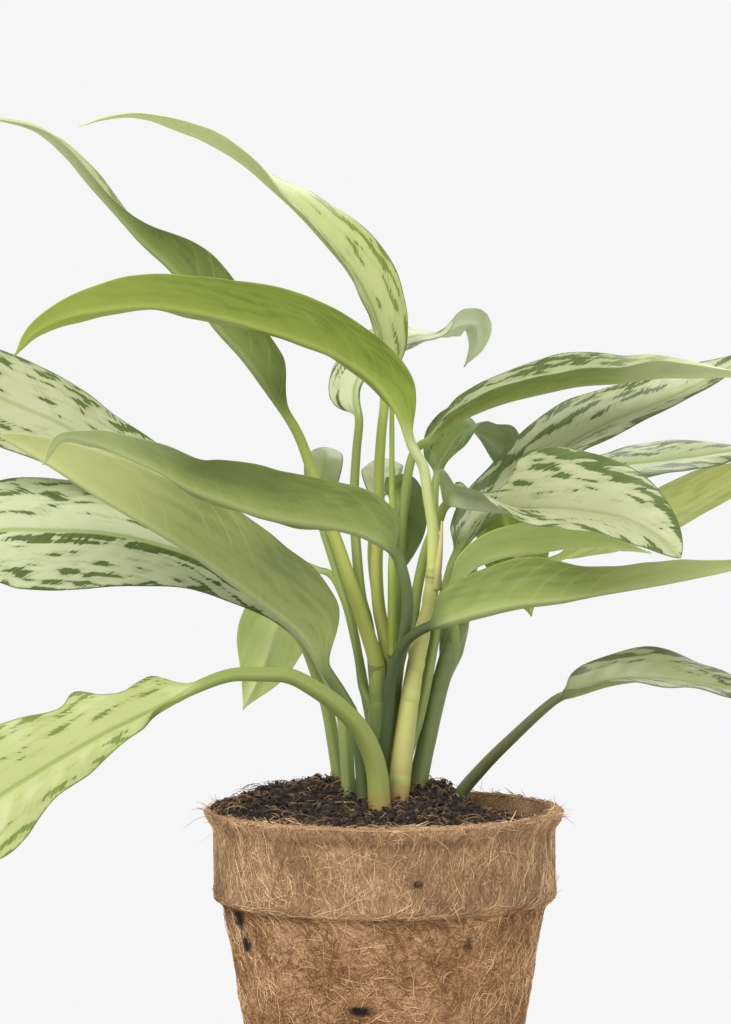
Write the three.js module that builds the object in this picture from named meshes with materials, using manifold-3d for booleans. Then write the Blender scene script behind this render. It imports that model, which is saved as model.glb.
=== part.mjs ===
// A chinese evergreen in a pressed coir pot. Millimetres, +Z up, origin at the centre of the pot's base.
// Four canes and six single stalks stand in the soil. Every leaf is one solid: a round stalk that
// flattens into a blade with a raised midrib underneath. The leaf stalks clasp the cane they grew from.
import * as THREE from "three";
import { mergeVertices } from "three/addons/utils/BufferGeometryUtils.js";
import Module from "manifold-3d";

const wasm = await Module();
wasm.setup();

// ---- driving dimensions ----
const CLEARANCE = 0.3; // between pieces that touch
const POT = {
  height: 128,
  baseRadius: 48,
  shoulderHeight: 92, // the wall steps out here to the collar
  shoulderRadius: 63,
  collarRadius: 66.8,
  lipRadius: 70.5,
  lipDrop: 7, // the lip flares out over this height
  lipEdge: 1.8, // height of the lip's outer edge below its top
  rounding: 0.8, // of the lip and the shoulder
  baseRounding: 1.5,
  throatRadius: 63, // inside, where the lip starts to flare
  mouthRadius: 67, // inside, at the top
  wall: 4,
  floor: 5,
  sides: 48,
};
const THROAT_HEIGHT = POT.height - POT.lipDrop;
const SOIL = {
  level: 122, // mean height of the surface
  tilt: -0.03, // it falls towards +X
  edge: 126.8, // no higher than this along the wall
  rings: 6,
  // height, centre and spread of each heap
  heaps: [
    { rise: 12, x: -24, y: 22, spread: 24 },
    { rise: 6, x: 4, y: -4, spread: 22 },
    { rise: 11, x: 22, y: 12, spread: 10 },
    { rise: 3, x: -56, y: 4, spread: 18 },
  ],
};
const BLADE = {
  thickness: 0.8,
  ringSpacing: 11, // between cross-sections along the blade
  stalkSpacing: 18, // between cross-sections along the stalk
  neck: 0.13, // share of the blade over which the round stalk flattens
  tipWidth: 0.3, // half width at the very tip
  ribDepth: 1.1, // of the midrib below the foot of the blade, in stalk radii
  ribTip: 0.6, // of the midrib below the tip, in blade thicknesses
  marginShift: 1.3, // between the ripples of the two margins, in radians
  calmWidth: 0.35, // narrower than this share of half, the ripples die down
};
const CANE = { ringSpacing: 14 };
const RING_POINTS = 10; // round a cane, a stalk or a blade: half on its upper face, half below
const LINE_STEPS = 400; // that a smooth line is measured in
const WELD = 1e-4; // points closer than this are one

const TOWARDS_VIEWER = [0, -1, 0];
const UPWARDS = [0, 0, 1];

// Canes, from the foot in the soil to the cut or growing end; radius runs from foot to end.
const CANES = [
  { name: "cane_left", radius: [3.2, 3.0], path: [[0, 7, 112], [-2, 7, 130], [-3, 7, 158], [-3, 8, 184]] },
  { name: "cane_back", radius: [3.8, 3.3], path: [[5, 16, 112], [4, 15, 129], [3, 15, 157], [2, 14, 187]] },
  {
    name: "cane_front",
    radius: [5, 2.6],
    path: [
      [4, -1, 112], [5, -1, 130], [7, -1, 148], [10, -1, 171], [14, -1, 194], [18, 0, 210],
      [19, 0, 223],
    ],
    sheath: { radius: [1.7, 0.5], path: [[20, -1, 216], [22, -2, 226], [23, -2, 240]] },
  },
  {
    name: "cane_right",
    radius: [3.9, 3.5],
    path: [[9, 9, 112], [12, 9, 130], [16, 10, 150], [21, 11, 172], [26, 11, 189], [30, 11, 200]],
  },
];

// The new leaf is still rolled up into a spear.
const ROLLED_LEAF = {
  name: "leaf_rolled",
  on: "cane_back",
  radius: [1.8, 0.9],
  path: [[3, 10, 187], [3, 8, 209], [3, 6, 233], [3, 7, 257], [3, 10, 288]],
};

// Leaves. stalk and rib are the centre lines, foot to blade and blade to tip. roll turns the upper face
// from the side it faces, in degrees, along the rib; fold lifts each half of the blade from flat.
// half is the largest half width, peak its place along the rib, and base and tip shape the two ends.
// left and right trim the two halves of the blade along the rib, seen from above and from the stalk.
// wave ripples the margins: height, waves along the blade and their start. neck is BLADE.neck for this leaf.
const LEAVES = [
  {
    name: "leaf_top_left",
    on: "cane_left",
    radius: [3.1, 2],
    stalk: [
      [-3, 8, 184], [-5, 8, 191], [-11, 10, 209], [-17, 12, 227], [-22, 14, 241],
      [-28, 16, 258], [-33, 18, 272],
    ],
    rib: [
      [-36, 18, 278], [-46, 19, 293], [-55, 20, 305], [-66, 21, 317], [-75, 22, 329], [-84, 23, 340],
      [-96, 24, 351], [-106, 24, 362], [-116, 23, 373], [-126, 20, 385], [-137, 16, 394],
      [-151, 12, 398], [-166, 6, 400],
    ],
    roll: [120, 120, 120, 120, 120, 118, 108, 92, 80, 75, 74, 76, 80],
    fold: [24, 30, 30, 30, 30, 28, 28, 32, 38, 42, 44, 42, 36],
    // the outer half is narrow, as if pinched
    left: [1, 1, 1, 1, 0.95, 0.8, 0.55, 0.45, 0.45, 0.5, 0.6, 0.7, 0.8],
    right: [1, 1, 1, 1, 0.95, 0.8, 0.55, 0.45, 0.45, 0.5, 0.6, 0.7, 0.8],
    half: 20, peak: 0.38, base: 0.6, tip: 1.5, wave: [0.8, 3, 0],
  },
  {
    name: "leaf_top_centre",
    on: "cane_back",
    radius: [2.8, 1.9],
    stalk: [
      [1, 14, 187], [1, 14, 191], [-2, 15, 205], [-3, 16, 223], [-2, 18, 240], [-2, 20, 260],
      [-1, 22, 276],
    ],
    rib: [
      [0, 24, 285], [0, 25, 300], [-2, 26, 314], [-6, 27, 326], [-13, 28, 339], [-22, 29, 350],
      [-33, 30, 362],
      [-45, 29, 373], [-57, 28, 383], [-71, 26, 391], [-84, 23, 397], [-96, 20, 400],
      [-109, 17, 399], [-120, 14, 396],
    ],
    roll: [60, 60, 58, 57, 58, 62, 70, 86, 98, 104, 104, 104, 104, 104],
    fold: [20, 26, 28, 28, 28, 26, 20, 12, 8, 8, 8, 8, 8, 8],
    half: 17.5, peak: 0.32, base: 0.6, tip: 1.1, wave: [0.8, 3, 1],
  },
  {
    name: "leaf_long_arch",
    on: "cane_front",
    radius: [2.4, 2],
    stalk: [[19, 0, 223], [19, -2, 238], [17, -4, 251], [15, -6, 263]],
    rib: [
      [11, -8, 270], [6, -10, 284], [-3, -12, 296], [-17, -16, 306], [-34, -20, 313], [-52, -24, 318.5],
      [-71, -27, 323], [-90, -29, 325.5], [-108, -30, 324], [-123, -30, 321], [-135, -28, 315],
      [-143, -26, 306],
    ],
    roll: [122, 118, 116, 114, 114, 114, 114, 114, 116, 122, 130, 140],
    fold: [10, 14, 16, 16, 16, 16, 16, 16, 16, 14, 12, 10],
    half: 25, peak: 0.4, base: 0.6, tip: 1, wave: [0.7, 3, 0],
  },
  {
    name: "leaf_back_top_right",
    on: "cane_left",
    radius: [2.3, 1.7],
    stalk: [
      [-4, 13, 179], [-5, 15, 190], [-7, 16, 202], [-9, 17, 209], [-11, 20, 228],
      [-12, 24, 248], [-11, 28, 268],
    ],
    rib: [
      [-10, 30, 280], [-12, 38, 290], [-6, 52, 303], [7, 62, 311], [22, 72, 314],
      [32, 78, 318], [38, 83, 317], [38, 86, 309], [33, 87, 300],
    ],
    roll: [40, 50, 60, 66, 90, 125, 150, 160, 160],
    fold: [15, 15, 12, 10, 5, 5, 5, 5, 5],
    half: 16, peak: 0.42, base: 0.5, tip: 1.1, wave: [0.5, 2, 0],
  },
  {
    name: "leaf_right_high",
    on: "cane_back",
    radius: [2.3, 1.8],
    stalk: [[5, 18, 184], [5, 18, 193], [5, 16, 212], [6, 12, 231], [8, 8, 249], [10, 6, 263], [13, 5, 270]],
    rib: [
      [17, 3, 272], [22, 2, 277], [30, 0, 282], [45, -4, 288], [61, -8, 292], [76, -11, 295],
      [91, -13, 296], [107, -15, 298], [122, -16, 298], [136, -17, 298], [151, -17, 296],
    ],
    roll: [75, 77, 78, 79, 78, 78, 80, 84, 88, 92, 94],
    fold: [33],
    half: 17, peak: 0.42, base: 0.6, tip: 1.1, wave: [0.3, 3, 0],
  },
  {
    name: "leaf_right_upper",
    on: "cane_front",
    radius: [2.3, 1.9],
    stalk: [[10, 3, 152], [13, 5, 161], [16, 6, 174], [19, 8, 190], [22, 10, 205], [25, 12, 217]],
    rib: [
      [28, 14, 226], [34, 16, 235], [42, 18, 245], [54, 18, 256], [69, 17, 268],
      [89, 15, 279], [109, 12, 287], [124, 10, 294], [138, 8, 302], [157, 4, 313],
    ],
    roll: [50, 52, 53, 53, 53, 53, 53, 55, 58, 60],
    fold: [22],
    half: 17, peak: 0.4, base: 0.45, tip: 1.1, wave: [0.8, 3, 0], neck: 0.06,
  },
  {
    name: "leaf_right_back_upper",
    on: "cane_right",
    radius: [2.2, 1.7],
    stalk: [[31, 13, 198], [33, 26, 210], [38, 46, 226], [49, 56, 241]],
    rib: [
      [63, 60, 249], [80, 62, 255], [96, 63, 260], [112, 66, 262], [129, 69, 264],
      [143, 71, 266], [161, 72, 267],
    ],
    roll: [66],
    fold: [4],
    half: 16, peak: 0.42, base: 0.75, tip: 1.1, wave: [1, 2, 0],
  },
  {
    name: "leaf_right_back_lower",
    on: "cane_right",
    radius: [2.2, 1.7],
    stalk: [[29, 15, 188], [31, 22, 195], [34, 38, 204], [45, 56, 212], [55, 66, 219]],
    rib: [[67, 72, 221], [84, 78, 227], [105, 84, 235], [126, 88, 244], [143, 91, 253], [165, 93, 264]],
    roll: [120, 120, 120, 122, 124, 124],
    fold: [5],
    half: 20, peak: 0.55, base: 0.75, tip: 1.1, wave: [0.8, 2, 0],
  },
  {
    name: "leaf_front_variegated",
    on: "cane_front",
    radius: [2.3, 2],
    stalk: [[12, 3, 185], [11, 8, 196], [12, 11, 207], [14, 11, 219], [17, 9, 231], [21, 7, 240]],
    rib: [
      [24, 4, 247], [33, -4, 247], [49, -16, 246], [64, -28, 247], [79, -40, 246],
      [91, -50, 244], [103, -57, 238], [112, -62, 230],
    ],
    roll: [70, 62, 50, 38, 36, 34, 30, 25],
    fold: [75, 68, 60, 38, 36, 32, 26, 20],
    // the base is rolled up into a spout: its near half stands in front of its far one
    left: [1, 0.8, 0.42, 0.34, 0.6, 0.89, 1, 1, 1, 1, 1, 1, 1, 1, 1],
    right: [1.8, 1.6, 0.95, 0.8, 0.85, 0.75, 0.75, 0.8, 0.9, 1, 1, 1, 1, 1, 1],
    half: 24, peak: 0.5, base: 0.42, tip: 0.7, wave: [0.9, 3, 0], neck: 0.05,
  },
  {
    name: "leaf_back_centre_right",
    on: "cane_front",
    radius: [2, 1.7],
    stalk: [[15, 4, 197], [17, 12, 207], [19, 20, 221], [20, 30, 232], [20, 38, 244]],
    rib: [[21, 43, 256], [26, 50, 267], [34, 58, 275], [44, 66, 271], [51, 72, 261], [56, 76, 249]],
    roll: [50, 50, 70, 120, 140, 150],
    fold: [18, 20, 25, 15, 8, 5],
    half: 15, peak: 0.42, base: 0.75, tip: 1.1, wave: [0.5, 2, 0],
  },
  {
    name: "leaf_back_hanging_right",
    on: "cane_right",
    radius: [2.2, 1.6],
    stalk: [[24, 14, 182], [24, 20, 193], [27, 26, 214], [31, 30, 235], [36, 31, 247]],
    rib: [[41, 32, 251], [46, 33, 245], [50, 33, 233], [54, 34, 219], [59, 35, 201]],
    roll: [120, 140, 160, 165, 165],
    fold: [10, 10, 8, 8, 8],
    half: 15, peak: 0.4, base: 0.75, tip: 1.1, wave: [0.5, 2, 0],
  },
  {
    name: "leaf_right_middle",
    on: "cane_right",
    radius: [2.2, 1.9],
    stalk: [[28, 10, 190], [27.5, 7.5, 198], [26, 3, 206]],
    rib: [
      [25, -2, 214], [33, -4, 223], [45, -5, 228], [61, -6, 230], [76, -8, 232],
      [92, -10, 231], [104, -12, 229],
    ],
    roll: [110, 112, 114, 114, 114, 112, 110],
    fold: [12, 16, 20, 20, 18, 14, 10],
    half: 17, peak: 0.42, base: 0.75, tip: 1.1, wave: [0.5, 2, 0],
  },
  {
    name: "leaf_right_front_low",
    on: "soil",
    radius: [2.6, 2],
    stalk: [
      [-3.5, -1, 114], [-3.2, -1, 131], [-0.7, -3, 149], [1.4, -5, 167], [2.6, -7.5, 180],
      [5.5, -11, 190], [10.5, -16, 197],
    ],
    rib: [
      [17, -20, 201], [24, -22, 203], [35, -24, 206], [52, -27, 210], [68, -30, 212],
      [83, -33, 215], [106, -37, 219], [121, -39, 222], [134, -41, 225], [155, -43, 231],
    ],
    roll: [120, 128, 134, 130, 116, 100, 100, 106, 110, 112],
    fold: [30, 34, 36, 36, 34, 32, 30, 28, 26, 24],
    half: 19, peak: 0.32, base: 0.4, tip: 1.1, wave: [0.6, 3, 0], neck: 0.05,
  },
  {
    name: "leaf_right_low",
    on: "soil",
    radius: [3, 1.8],
    stalk: [[23, 14, 116], [29, 9, 131], [39, 3, 144], [51, -5, 157], [63, -13, 169]],
    rib: [
      [68, -16, 173], [76, -20, 176], [88, -26, 180], [102, -32, 182], [117, -38, 181],
      [134, -44, 178], [150, -50, 173],
    ],
    roll: [70, 68, 66, 66, 66, 66, 66],
    fold: [42, 38, 30, 22, 14, 8, 5],
    half: 14.5, peak: 0.42, base: 0.55, tip: 1.1, wave: [0.8, 3, 0], neck: 0.07,
  },
  {
    name: "leaf_left_lowest",
    on: "soil",
    radius: [4.8, 2.4],
    stalk: [
      [-1, -14, 114], [-2, -13, 131], [-3.5, -14, 146], [-8.5, -18, 159], [-17, -24, 169.5],
      [-27, -30, 177.5], [-37, -35, 183], [-48, -40, 184], [-59, -44, 184],
    ],
    rib: [
      [-69, -48, 181], [-81, -52, 175], [-94, -57, 169], [-107, -62, 163], [-118, -66, 157],
      [-132, -71, 149], [-145, -76, 141], [-159, -80, 130], [-173, -82, 117],
    ],
    roll: [40, 36, 30, 26, 24, 22, 20, 18, 18],
    fold: [12, 8, 4, 0, 0, 0, 0, 0, 0],
    // the lower half starts further out, in a round lobe; the upper margin is wavy
    left: [0.04, 0.04, 0.04, 0.05, 0.33, 0.39, 0.42, 0.45, 0.49, 0.5, 0.52, 0.6, 0.71, 0.8, 0.9, 1, 1],
    right: [1.2, 1.3, 1.35, 1.05, 0.76, 0.8, 1.08, 0.88, 0.84, 0.9, 0.98, 1.06, 1.1, 1.1, 1.05, 1, 1],
    half: 26, peak: 0.75, base: 0.65, tip: 1.1, wave: [1.2, 4, 0],
  },
  {
    name: "leaf_left_front",
    on: "cane_back",
    radius: [2.8, 2.2],
    stalk: [[3, 10, 159], [4, 6, 170], [5, -2, 183], [8, -10, 197], [9, -17, 210], [7, -22, 222]],
    rib: [
      [4, -24, 230], [-6, -28, 237], [-19, -33, 241], [-33, -38, 243], [-47, -43, 246], [-61, -47, 251],
      [-74, -50, 256], [-86, -53, 263], [-99, -55, 269], [-111, -56, 274], [-123, -56, 275], [-130, -55, 265],
    ],
    roll: [128, 124, 124, 124, 124, 124, 120, 116, 114, 116, 120, 130],
    fold: [20, 24, 24, 24, 24, 24, 22, 20, 16, 12, 8, 5],
    half: 21.5, peak: 0.28, base: 0.4, tip: 0.95, wave: [0.8, 3, 0], neck: 0.05,
  },
  {
    name: "leaf_left_folded",
    on: "soil",
    radius: [3.2, 2.4],
    stalk: [[-6, -6, 115], [-8, -6, 133], [-9, -6, 147], [-12, -6, 164], [-16, -7, 172]],
    rib: [
      [-21, -8, 180], [-32, -9, 196], [-49, -10, 210], [-64, -11, 221], [-78, -12, 231],
      [-91, -13, 239], [-111, -14, 251], [-131, -15, 264], [-150, -15, 275],
    ],
    roll: [115, 115, 115, 115, 115, 115, 116, 118, 120],
    fold: [50, 58, 60, 60, 60, 58, 54, 46, 36],
    half: 24.5, peak: 0.26, base: 0.6, tip: 0.62, wave: [0.6, 3, 0],
  },
  {
    name: "leaf_left_variegated",
    on: "soil",
    radius: [3, 2.2],
    stalk: [[-15, 22, 113], [-17, 24, 130], [-20, 26, 150], [-23, 28, 166], [-27, 30, 178]],
    rib: [
      [-33, 30, 192], [-43, 30, 201], [-58, 30, 213], [-73, 29, 224], [-93, 28, 231],
      [-113, 26, 235], [-133, 24, 236], [-153, 22, 236], [-170, 19, 232], [-186, 15, 224],
    ],
    roll: [35, 32, 28, 26, 25, 25, 25, 25, 25, 25],
    fold: [10, 5, 0, -8, -10, -10, -10, -8, -5, -5],
    half: 24.5, peak: 0.72, base: 1.3, tip: 1.1, wave: [0.8, 3, 0],
  },
  {
    name: "leaf_left_high",
    on: "soil",
    radius: [3, 2],
    stalk: [
      [-13, -1, 114], [-14, 1, 132], [-15, 4, 150], [-17, 9, 167], [-21, 14, 176],
      [-26, 18, 185], [-31, 22, 195], [-42, 29, 211],
    ],
    rib: [
      [-54, 36, 230], [-68, 37, 240], [-82, 37, 250], [-96, 36, 260], [-114, 35, 269],
      [-129, 33, 278], [-145, 31, 285], [-159, 28, 291], [-174, 23, 297], [-188, 18, 300],
    ],
    roll: [40, 38, 35, 32, 30, 30, 30, 30, 30, 30],
    fold: [10, 8, 5, 2, 0, 0, 0, 0, 0, 0],
    half: 20.5, peak: 0.8, base: 1, tip: 1.1, wave: [0.6, 3, 0],
  },
  {
    name: "leaf_left_hanging",
    on: "cane_left",
    radius: [2.2, 1.6],
    stalk: [[-3, 11, 149], [-5, 15, 159], [-7, 19, 169], [-9, 25, 180], [-12, 30, 194], [-16, 36, 208]],
    rib: [[-22, 42, 218], [-31, 47, 218], [-38, 50, 208], [-44, 52, 194], [-49, 53, 179], [-57, 53, 162]],
    roll: [100, 130, 160, 168, 168, 168],
    fold: [8, 8, 6, 5, 5, 5],
    half: 15, peak: 0.5, base: 0.75, tip: 1.1, wave: [0.6, 2, 0],
  },
  {
    name: "leaf_back_left",
    on: "cane_left",
    faces: UPWARDS,
    radius: [1.9, 1.5],
    stalk: [[-5, 8, 167], [-8, 10, 173], [-10, 17, 185], [-13, 24, 200], [-18, 30, 216], [-22, 34, 228]],
    rib: [
      [-25, 37, 238], [-25, 41, 251], [-24, 49, 263], [-24, 59, 268], [-27, 74, 265],
      [-30, 86, 255], [-32, 94, 242],
    ],
    roll: [0],
    fold: [-25],
    half: 8, peak: 0.4, base: 0.75, tip: 1.1, wave: [0.5, 2, 0],
  },
  {
    name: "leaf_back_centre",
    on: "cane_back",
    faces: UPWARDS,
    radius: [2, 1.6],
    stalk: [[1, 18, 180], [0, 22, 189], [-3, 32, 208], [-5, 42, 227]],
    rib: [[-3, 50, 243], [-2, 62, 254], [-1, 80, 262], [1, 100, 261], [3, 120, 252], [4, 134, 240]],
    roll: [0],
    fold: [-25],
    half: 9, peak: 0.4, base: 0.75, tip: 1.1, wave: [0.5, 2, 0],
  },
  {
    name: "leaf_back_dark",
    on: "cane_back",
    radius: [2, 1.6],
    stalk: [[5, 19, 173], [6, 24, 182], [6, 29, 204], [5, 32, 220], [5, 32, 237]],
    rib: [[5, 34, 246], [5, 39, 252], [7, 47, 249], [9, 54, 239], [8, 58, 227], [4, 61, 212]],
    roll: [0, -20, -30, -30, -30, -30],
    fold: [8],
    half: 9.5, peak: 0.4, base: 0.75, tip: 1.1, wave: [0.5, 2, 0],
  },
];

// ---- colours and finishes ----
const COIR = { color: 0xb98a5c, roughness: 0.95 };
const POTTING_SOIL = { color: 0x33251c, roughness: 1 };
const GREEN_STEM = { color: 0x8f9c50, roughness: 0.5 };
const LEAF_GREEN = { color: 0xa3bd74, roughness: 0.45 };

// ---- solids ----
const radians = THREE.MathUtils.degToRad;
const vector = (point) => new THREE.Vector3(...point);

function solidOf(geometry) {
  const bare = geometry.clone();
  bare.deleteAttribute("normal");
  bare.deleteAttribute("uv");
  const merged = mergeVertices(bare, WELD);
  const mesh = new wasm.Mesh({
    numProp: 3,
    vertProperties: merged.attributes.position.array,
    triVerts: new Uint32Array(merged.index.array),
  });
  return new wasm.Manifold(mesh);
}

function geometryOf(solid) {
  const mesh = solid.getMesh();
  const geometry = new THREE.BufferGeometry();
  geometry.setAttribute("position", new THREE.BufferAttribute(mesh.vertProperties, 3));
  geometry.setIndex(new THREE.BufferAttribute(mesh.triVerts, 1));
  geometry.computeVertexNormals();
  return geometry;
}

// A closed skin over rings of equal length. Each ring runs clockwise, seen along the way the rings go.
// The first half of a ring is the upper face and the second half the lower one: both are split into
// triangles by diagonals that lie over each other, and each end is closed across from face to face.
function loft(rings) {
  const size = rings[0].length;
  const half = size / 2;
  const index = [];
  const at = (ring, place) => ring * size + (place % size);
  for (let ring = 0; ring < rings.length - 1; ring++) {
    for (let place = 0; place < size; place++) {
      const [a, b] = [at(ring, place), at(ring + 1, place)];
      const [c, d] = [at(ring + 1, place + 1), at(ring, place + 1)];
      if (place < half) index.push(a, b, c, a, c, d);
      else index.push(a, b, d, b, c, d);
    }
  }
  const last = rings.length - 1;
  for (let place = 0; place < half - 1; place++) {
    const across = size - 1 - place;
    const start = [at(0, place), at(0, place + 1), at(0, across - 1), at(0, across)];
    const end = [at(last, across), at(last, across - 1), at(last, place + 1), at(last, place)];
    for (const [a, b, c, d] of [start, end]) index.push(a, b, c, a, c, d);
  }
  const geometry = new THREE.BufferGeometry();
  const positions = rings.flat().flatMap((point) => point.toArray());
  geometry.setAttribute("position", new THREE.Float32BufferAttribute(positions, 3));
  geometry.setIndex(index);
  return geometry;
}

// Points a roughly even distance apart on a smooth line, each with its direction and its share of the way.
function stations(curve, from, to, spacing) {
  const lengths = curve.getLengths(LINE_STEPS);
  const total = lengths[LINE_STEPS];
  const lengthAt = (t) => lengths[Math.round(t * LINE_STEPS)];
  const [start, end] = [lengthAt(from), lengthAt(to)];
  const count = Math.max(2, Math.round((end - start) / spacing));
  return Array.from({ length: count + 1 }, (_, i) => {
    const share = i / count;
    const u = THREE.MathUtils.lerp(start, end, share) / total;
    const t = curve.getUtoTmapping(Math.min(u, 1));
    return { share, t, point: curve.getPoint(t), along: curve.getTangent(t) };
  });
}

function smoothLine(points) {
  return new THREE.CatmullRomCurve3(points.map(vector), false, "centripetal");
}

// The frame of a leaf at a station: up is the side its upper face looks to, across runs over the blade.
function frameAt(along, faces, side, roll) {
  const facing = vector(faces).addScaledVector(along, -along.dot(vector(faces))).normalize();
  const outward = new THREE.Vector3().crossVectors(along, facing).multiplyScalar(side);
  const up = facing.clone().multiplyScalar(Math.cos(roll)).addScaledVector(outward, Math.sin(roll));
  return { up, across: new THREE.Vector3().crossVectors(along, up) };
}

function roundRing(point, frame, radius, sides) {
  return Array.from({ length: sides }, (_, place) => {
    const angle = ((place + 0.5) / sides) * 2 * Math.PI;
    return point
      .clone()
      .addScaledVector(frame.across, radius * Math.cos(angle))
      .addScaledVector(frame.up, radius * Math.sin(angle));
  });
}

// A round stem along a line, tapering from its foot; extra widens and lengthens it for a clearance.
function stemSolid(path, radius, extra = 0) {
  const steps = stations(smoothLine(path), 0, 1, CANE.ringSpacing);
  const rings = steps.map(({ share, point, along }, i) => {
    const thick = THREE.MathUtils.lerp(radius[0], radius[1], share) + extra;
    const ends = (i === 0 ? -extra : 0) + (i === steps.length - 1 ? extra : 0);
    const centre = point.clone().addScaledVector(along, ends);
    return roundRing(centre, frameAt(along, TOWARDS_VIEWER, 1, 0), thick, RING_POINTS);
  });
  return solidOf(loft(rings));
}

function caneSolid(cane, extra = 0) {
  const stem = stemSolid(cane.path, cane.radius, extra);
  return cane.sheath ? stem.add(stemSolid(cane.sheath.path, cane.sheath.radius, extra)) : stem;
}

// A value along the rib from a short list spread evenly over it.
function along(list, share) {
  const place = share * (list.length - 1);
  const low = Math.min(Math.floor(place), Math.max(list.length - 2, 0));
  return THREE.MathUtils.lerp(list[low], list[Math.min(low + 1, list.length - 1)], place - low);
}

function bladeWidth(leaf, share) {
  const rising = Math.sin((Math.PI / 2) * Math.min(share / leaf.peak, 1)) ** leaf.base;
  const falling = Math.cos((Math.PI / 2) * Math.max((share - leaf.peak) / (1 - leaf.peak), 0)) ** leaf.tip;
  return Math.max(leaf.half * rising * falling, BLADE.tipWidth);
}

// The ten points of a blade's cross-section: right margin to left margin on the upper face, and back below.
function bladeRing(leaf, { share, point, frame, ribShare }) {
  const width = bladeWidth(leaf, share);
  const fold = radians(along(leaf.fold, ribShare));
  const ribDepth = THREE.MathUtils.lerp(
    leaf.radius[1] * BLADE.ribDepth, BLADE.thickness * BLADE.ribTip, share,
  );
  const upper = [];
  const lower = [];
  for (const reach of [1, 0.5, 0, -0.5, -1]) {
    const side = Math.sign(reach);
    const trim = side < 0 ? leaf.left : leaf.right;
    const flat = Math.abs(reach) * width * (trim ? along(trim, ribShare) : 1);
    const phase = 2 * Math.PI * leaf.wave[1] * share + leaf.wave[2] + (side > 0 ? BLADE.marginShift : 0);
    const swell = Math.min(1, width / (BLADE.calmWidth * leaf.half));
    const ripple = leaf.wave[0] * reach ** 2 * Math.sin(phase) * swell;
    const middle = point
      .clone()
      .addScaledVector(frame.across, side * flat * Math.cos(fold))
      .addScaledVector(frame.up, flat * Math.sin(fold) + ripple);
    const normal = frame.up
      .clone()
      .multiplyScalar(side ? Math.cos(fold) : 1 / Math.cos(fold))
      .addScaledVector(frame.across, -side * Math.sin(fold));
    upper.push(middle.clone().addScaledVector(normal, BLADE.thickness / 2));
    lower.unshift(
      side
        ? middle.addScaledVector(normal, -BLADE.thickness / 2)
        : middle.addScaledVector(frame.up, -ribDepth),
    );
  }
  return [...upper, ...lower];
}

// The smooth line of a whole leaf, the place on it where the blade starts, and its frame at a station.
function leafLine(leaf) {
  const bladeStart = leaf.stalk.length / (leaf.stalk.length + leaf.rib.length - 1);
  const side = leaf.rib.at(-1)[0] < leaf.rib[0][0] ? 1 : -1;
  const framed = (station) => {
    const ribShare = Math.max((station.t - bladeStart) / (1 - bladeStart), 0);
    const roll = radians(along(leaf.roll, Math.min(ribShare, 1)));
    const frame = frameAt(station.along, leaf.faces ?? TOWARDS_VIEWER, side, roll);
    return { ...station, ribShare: Math.min(ribShare, 1), frame };
  };
  return { curve: smoothLine([...leaf.stalk, ...leaf.rib]), bladeStart, framed };
}

function stalkRings(leaf, extra = 0) {
  const { curve, bladeStart, framed } = leafLine(leaf);
  return stations(curve, 0, bladeStart, BLADE.stalkSpacing)
    .slice(0, -1)
    .map(framed)
    .map(({ share, point, along: direction, frame }, i) => {
      const centre = point.clone().addScaledVector(direction, i === 0 ? -extra : 0);
      const thick = THREE.MathUtils.lerp(leaf.radius[0], leaf.radius[1], share) + extra;
      return roundRing(centre, frame, thick, RING_POINTS);
    });
}

function leafSolid(leaf) {
  const { curve, bladeStart, framed } = leafLine(leaf);
  const blade = stations(curve, bladeStart, 1, BLADE.ringSpacing)
    .map(framed)
    .map((place) => {
      const round = roundRing(place.point, place.frame, leaf.radius[1], RING_POINTS);
      const flattened = THREE.MathUtils.smoothstep(place.share, 0, leaf.neck ?? BLADE.neck);
      return bladeRing(leaf, place).map((point, i) => round[i].lerp(point, flattened));
    });
  return solidOf(loft([...stalkRings(leaf), ...blade]));
}

// ---- pot and soil ----
function innerRadius(height) {
  const floorRadius = THREE.MathUtils.mapLinear(
    POT.floor, 0, POT.shoulderHeight, POT.baseRadius - POT.wall, POT.shoulderRadius - POT.wall,
  );
  if (height < POT.shoulderHeight)
    return THREE.MathUtils.mapLinear(
      height, POT.floor, POT.shoulderHeight, floorRadius, POT.shoulderRadius - POT.wall,
    );
  if (height < THROAT_HEIGHT)
    return THREE.MathUtils.mapLinear(
      height, POT.shoulderHeight, THROAT_HEIGHT, POT.shoulderRadius - POT.wall, POT.throatRadius,
    );
  return THREE.MathUtils.mapLinear(
    height, THROAT_HEIGHT, POT.height, POT.throatRadius, POT.mouthRadius,
  );
}

function potGeometry() {
  const { height, shoulderHeight, collarRadius, lipRadius, floor, rounding } = POT;
  const outline = [
    [0, 0],
    [POT.baseRadius - POT.baseRounding, 0],
    [POT.baseRadius, POT.baseRounding],
    [POT.shoulderRadius, shoulderHeight],
    [collarRadius - rounding, shoulderHeight + rounding],
    [collarRadius, shoulderHeight + POT.wall],
    [collarRadius, THROAT_HEIGHT],
    [lipRadius, height - POT.lipEdge],
    [lipRadius - rounding, height],
    [innerRadius(height) + rounding, height],
    [innerRadius(height - rounding), height - rounding],
    [POT.throatRadius, THROAT_HEIGHT],
    [innerRadius(shoulderHeight), shoulderHeight],
    [innerRadius(floor), floor],
    [0, floor],
  ];
  const profile = outline.map(([radius, z]) => new THREE.Vector2(radius, z));
  return new THREE.LatheGeometry(profile, POT.sides).rotateX(Math.PI / 2);
}

function soilHeight(x, y) {
  return SOIL.heaps.reduce((height, heap) => {
    const away = ((x - heap.x) ** 2 + (y - heap.y) ** 2) / heap.spread ** 2;
    return height + heap.rise * Math.exp(-away / 2);
  }, SOIL.level + SOIL.tilt * x);
}

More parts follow.
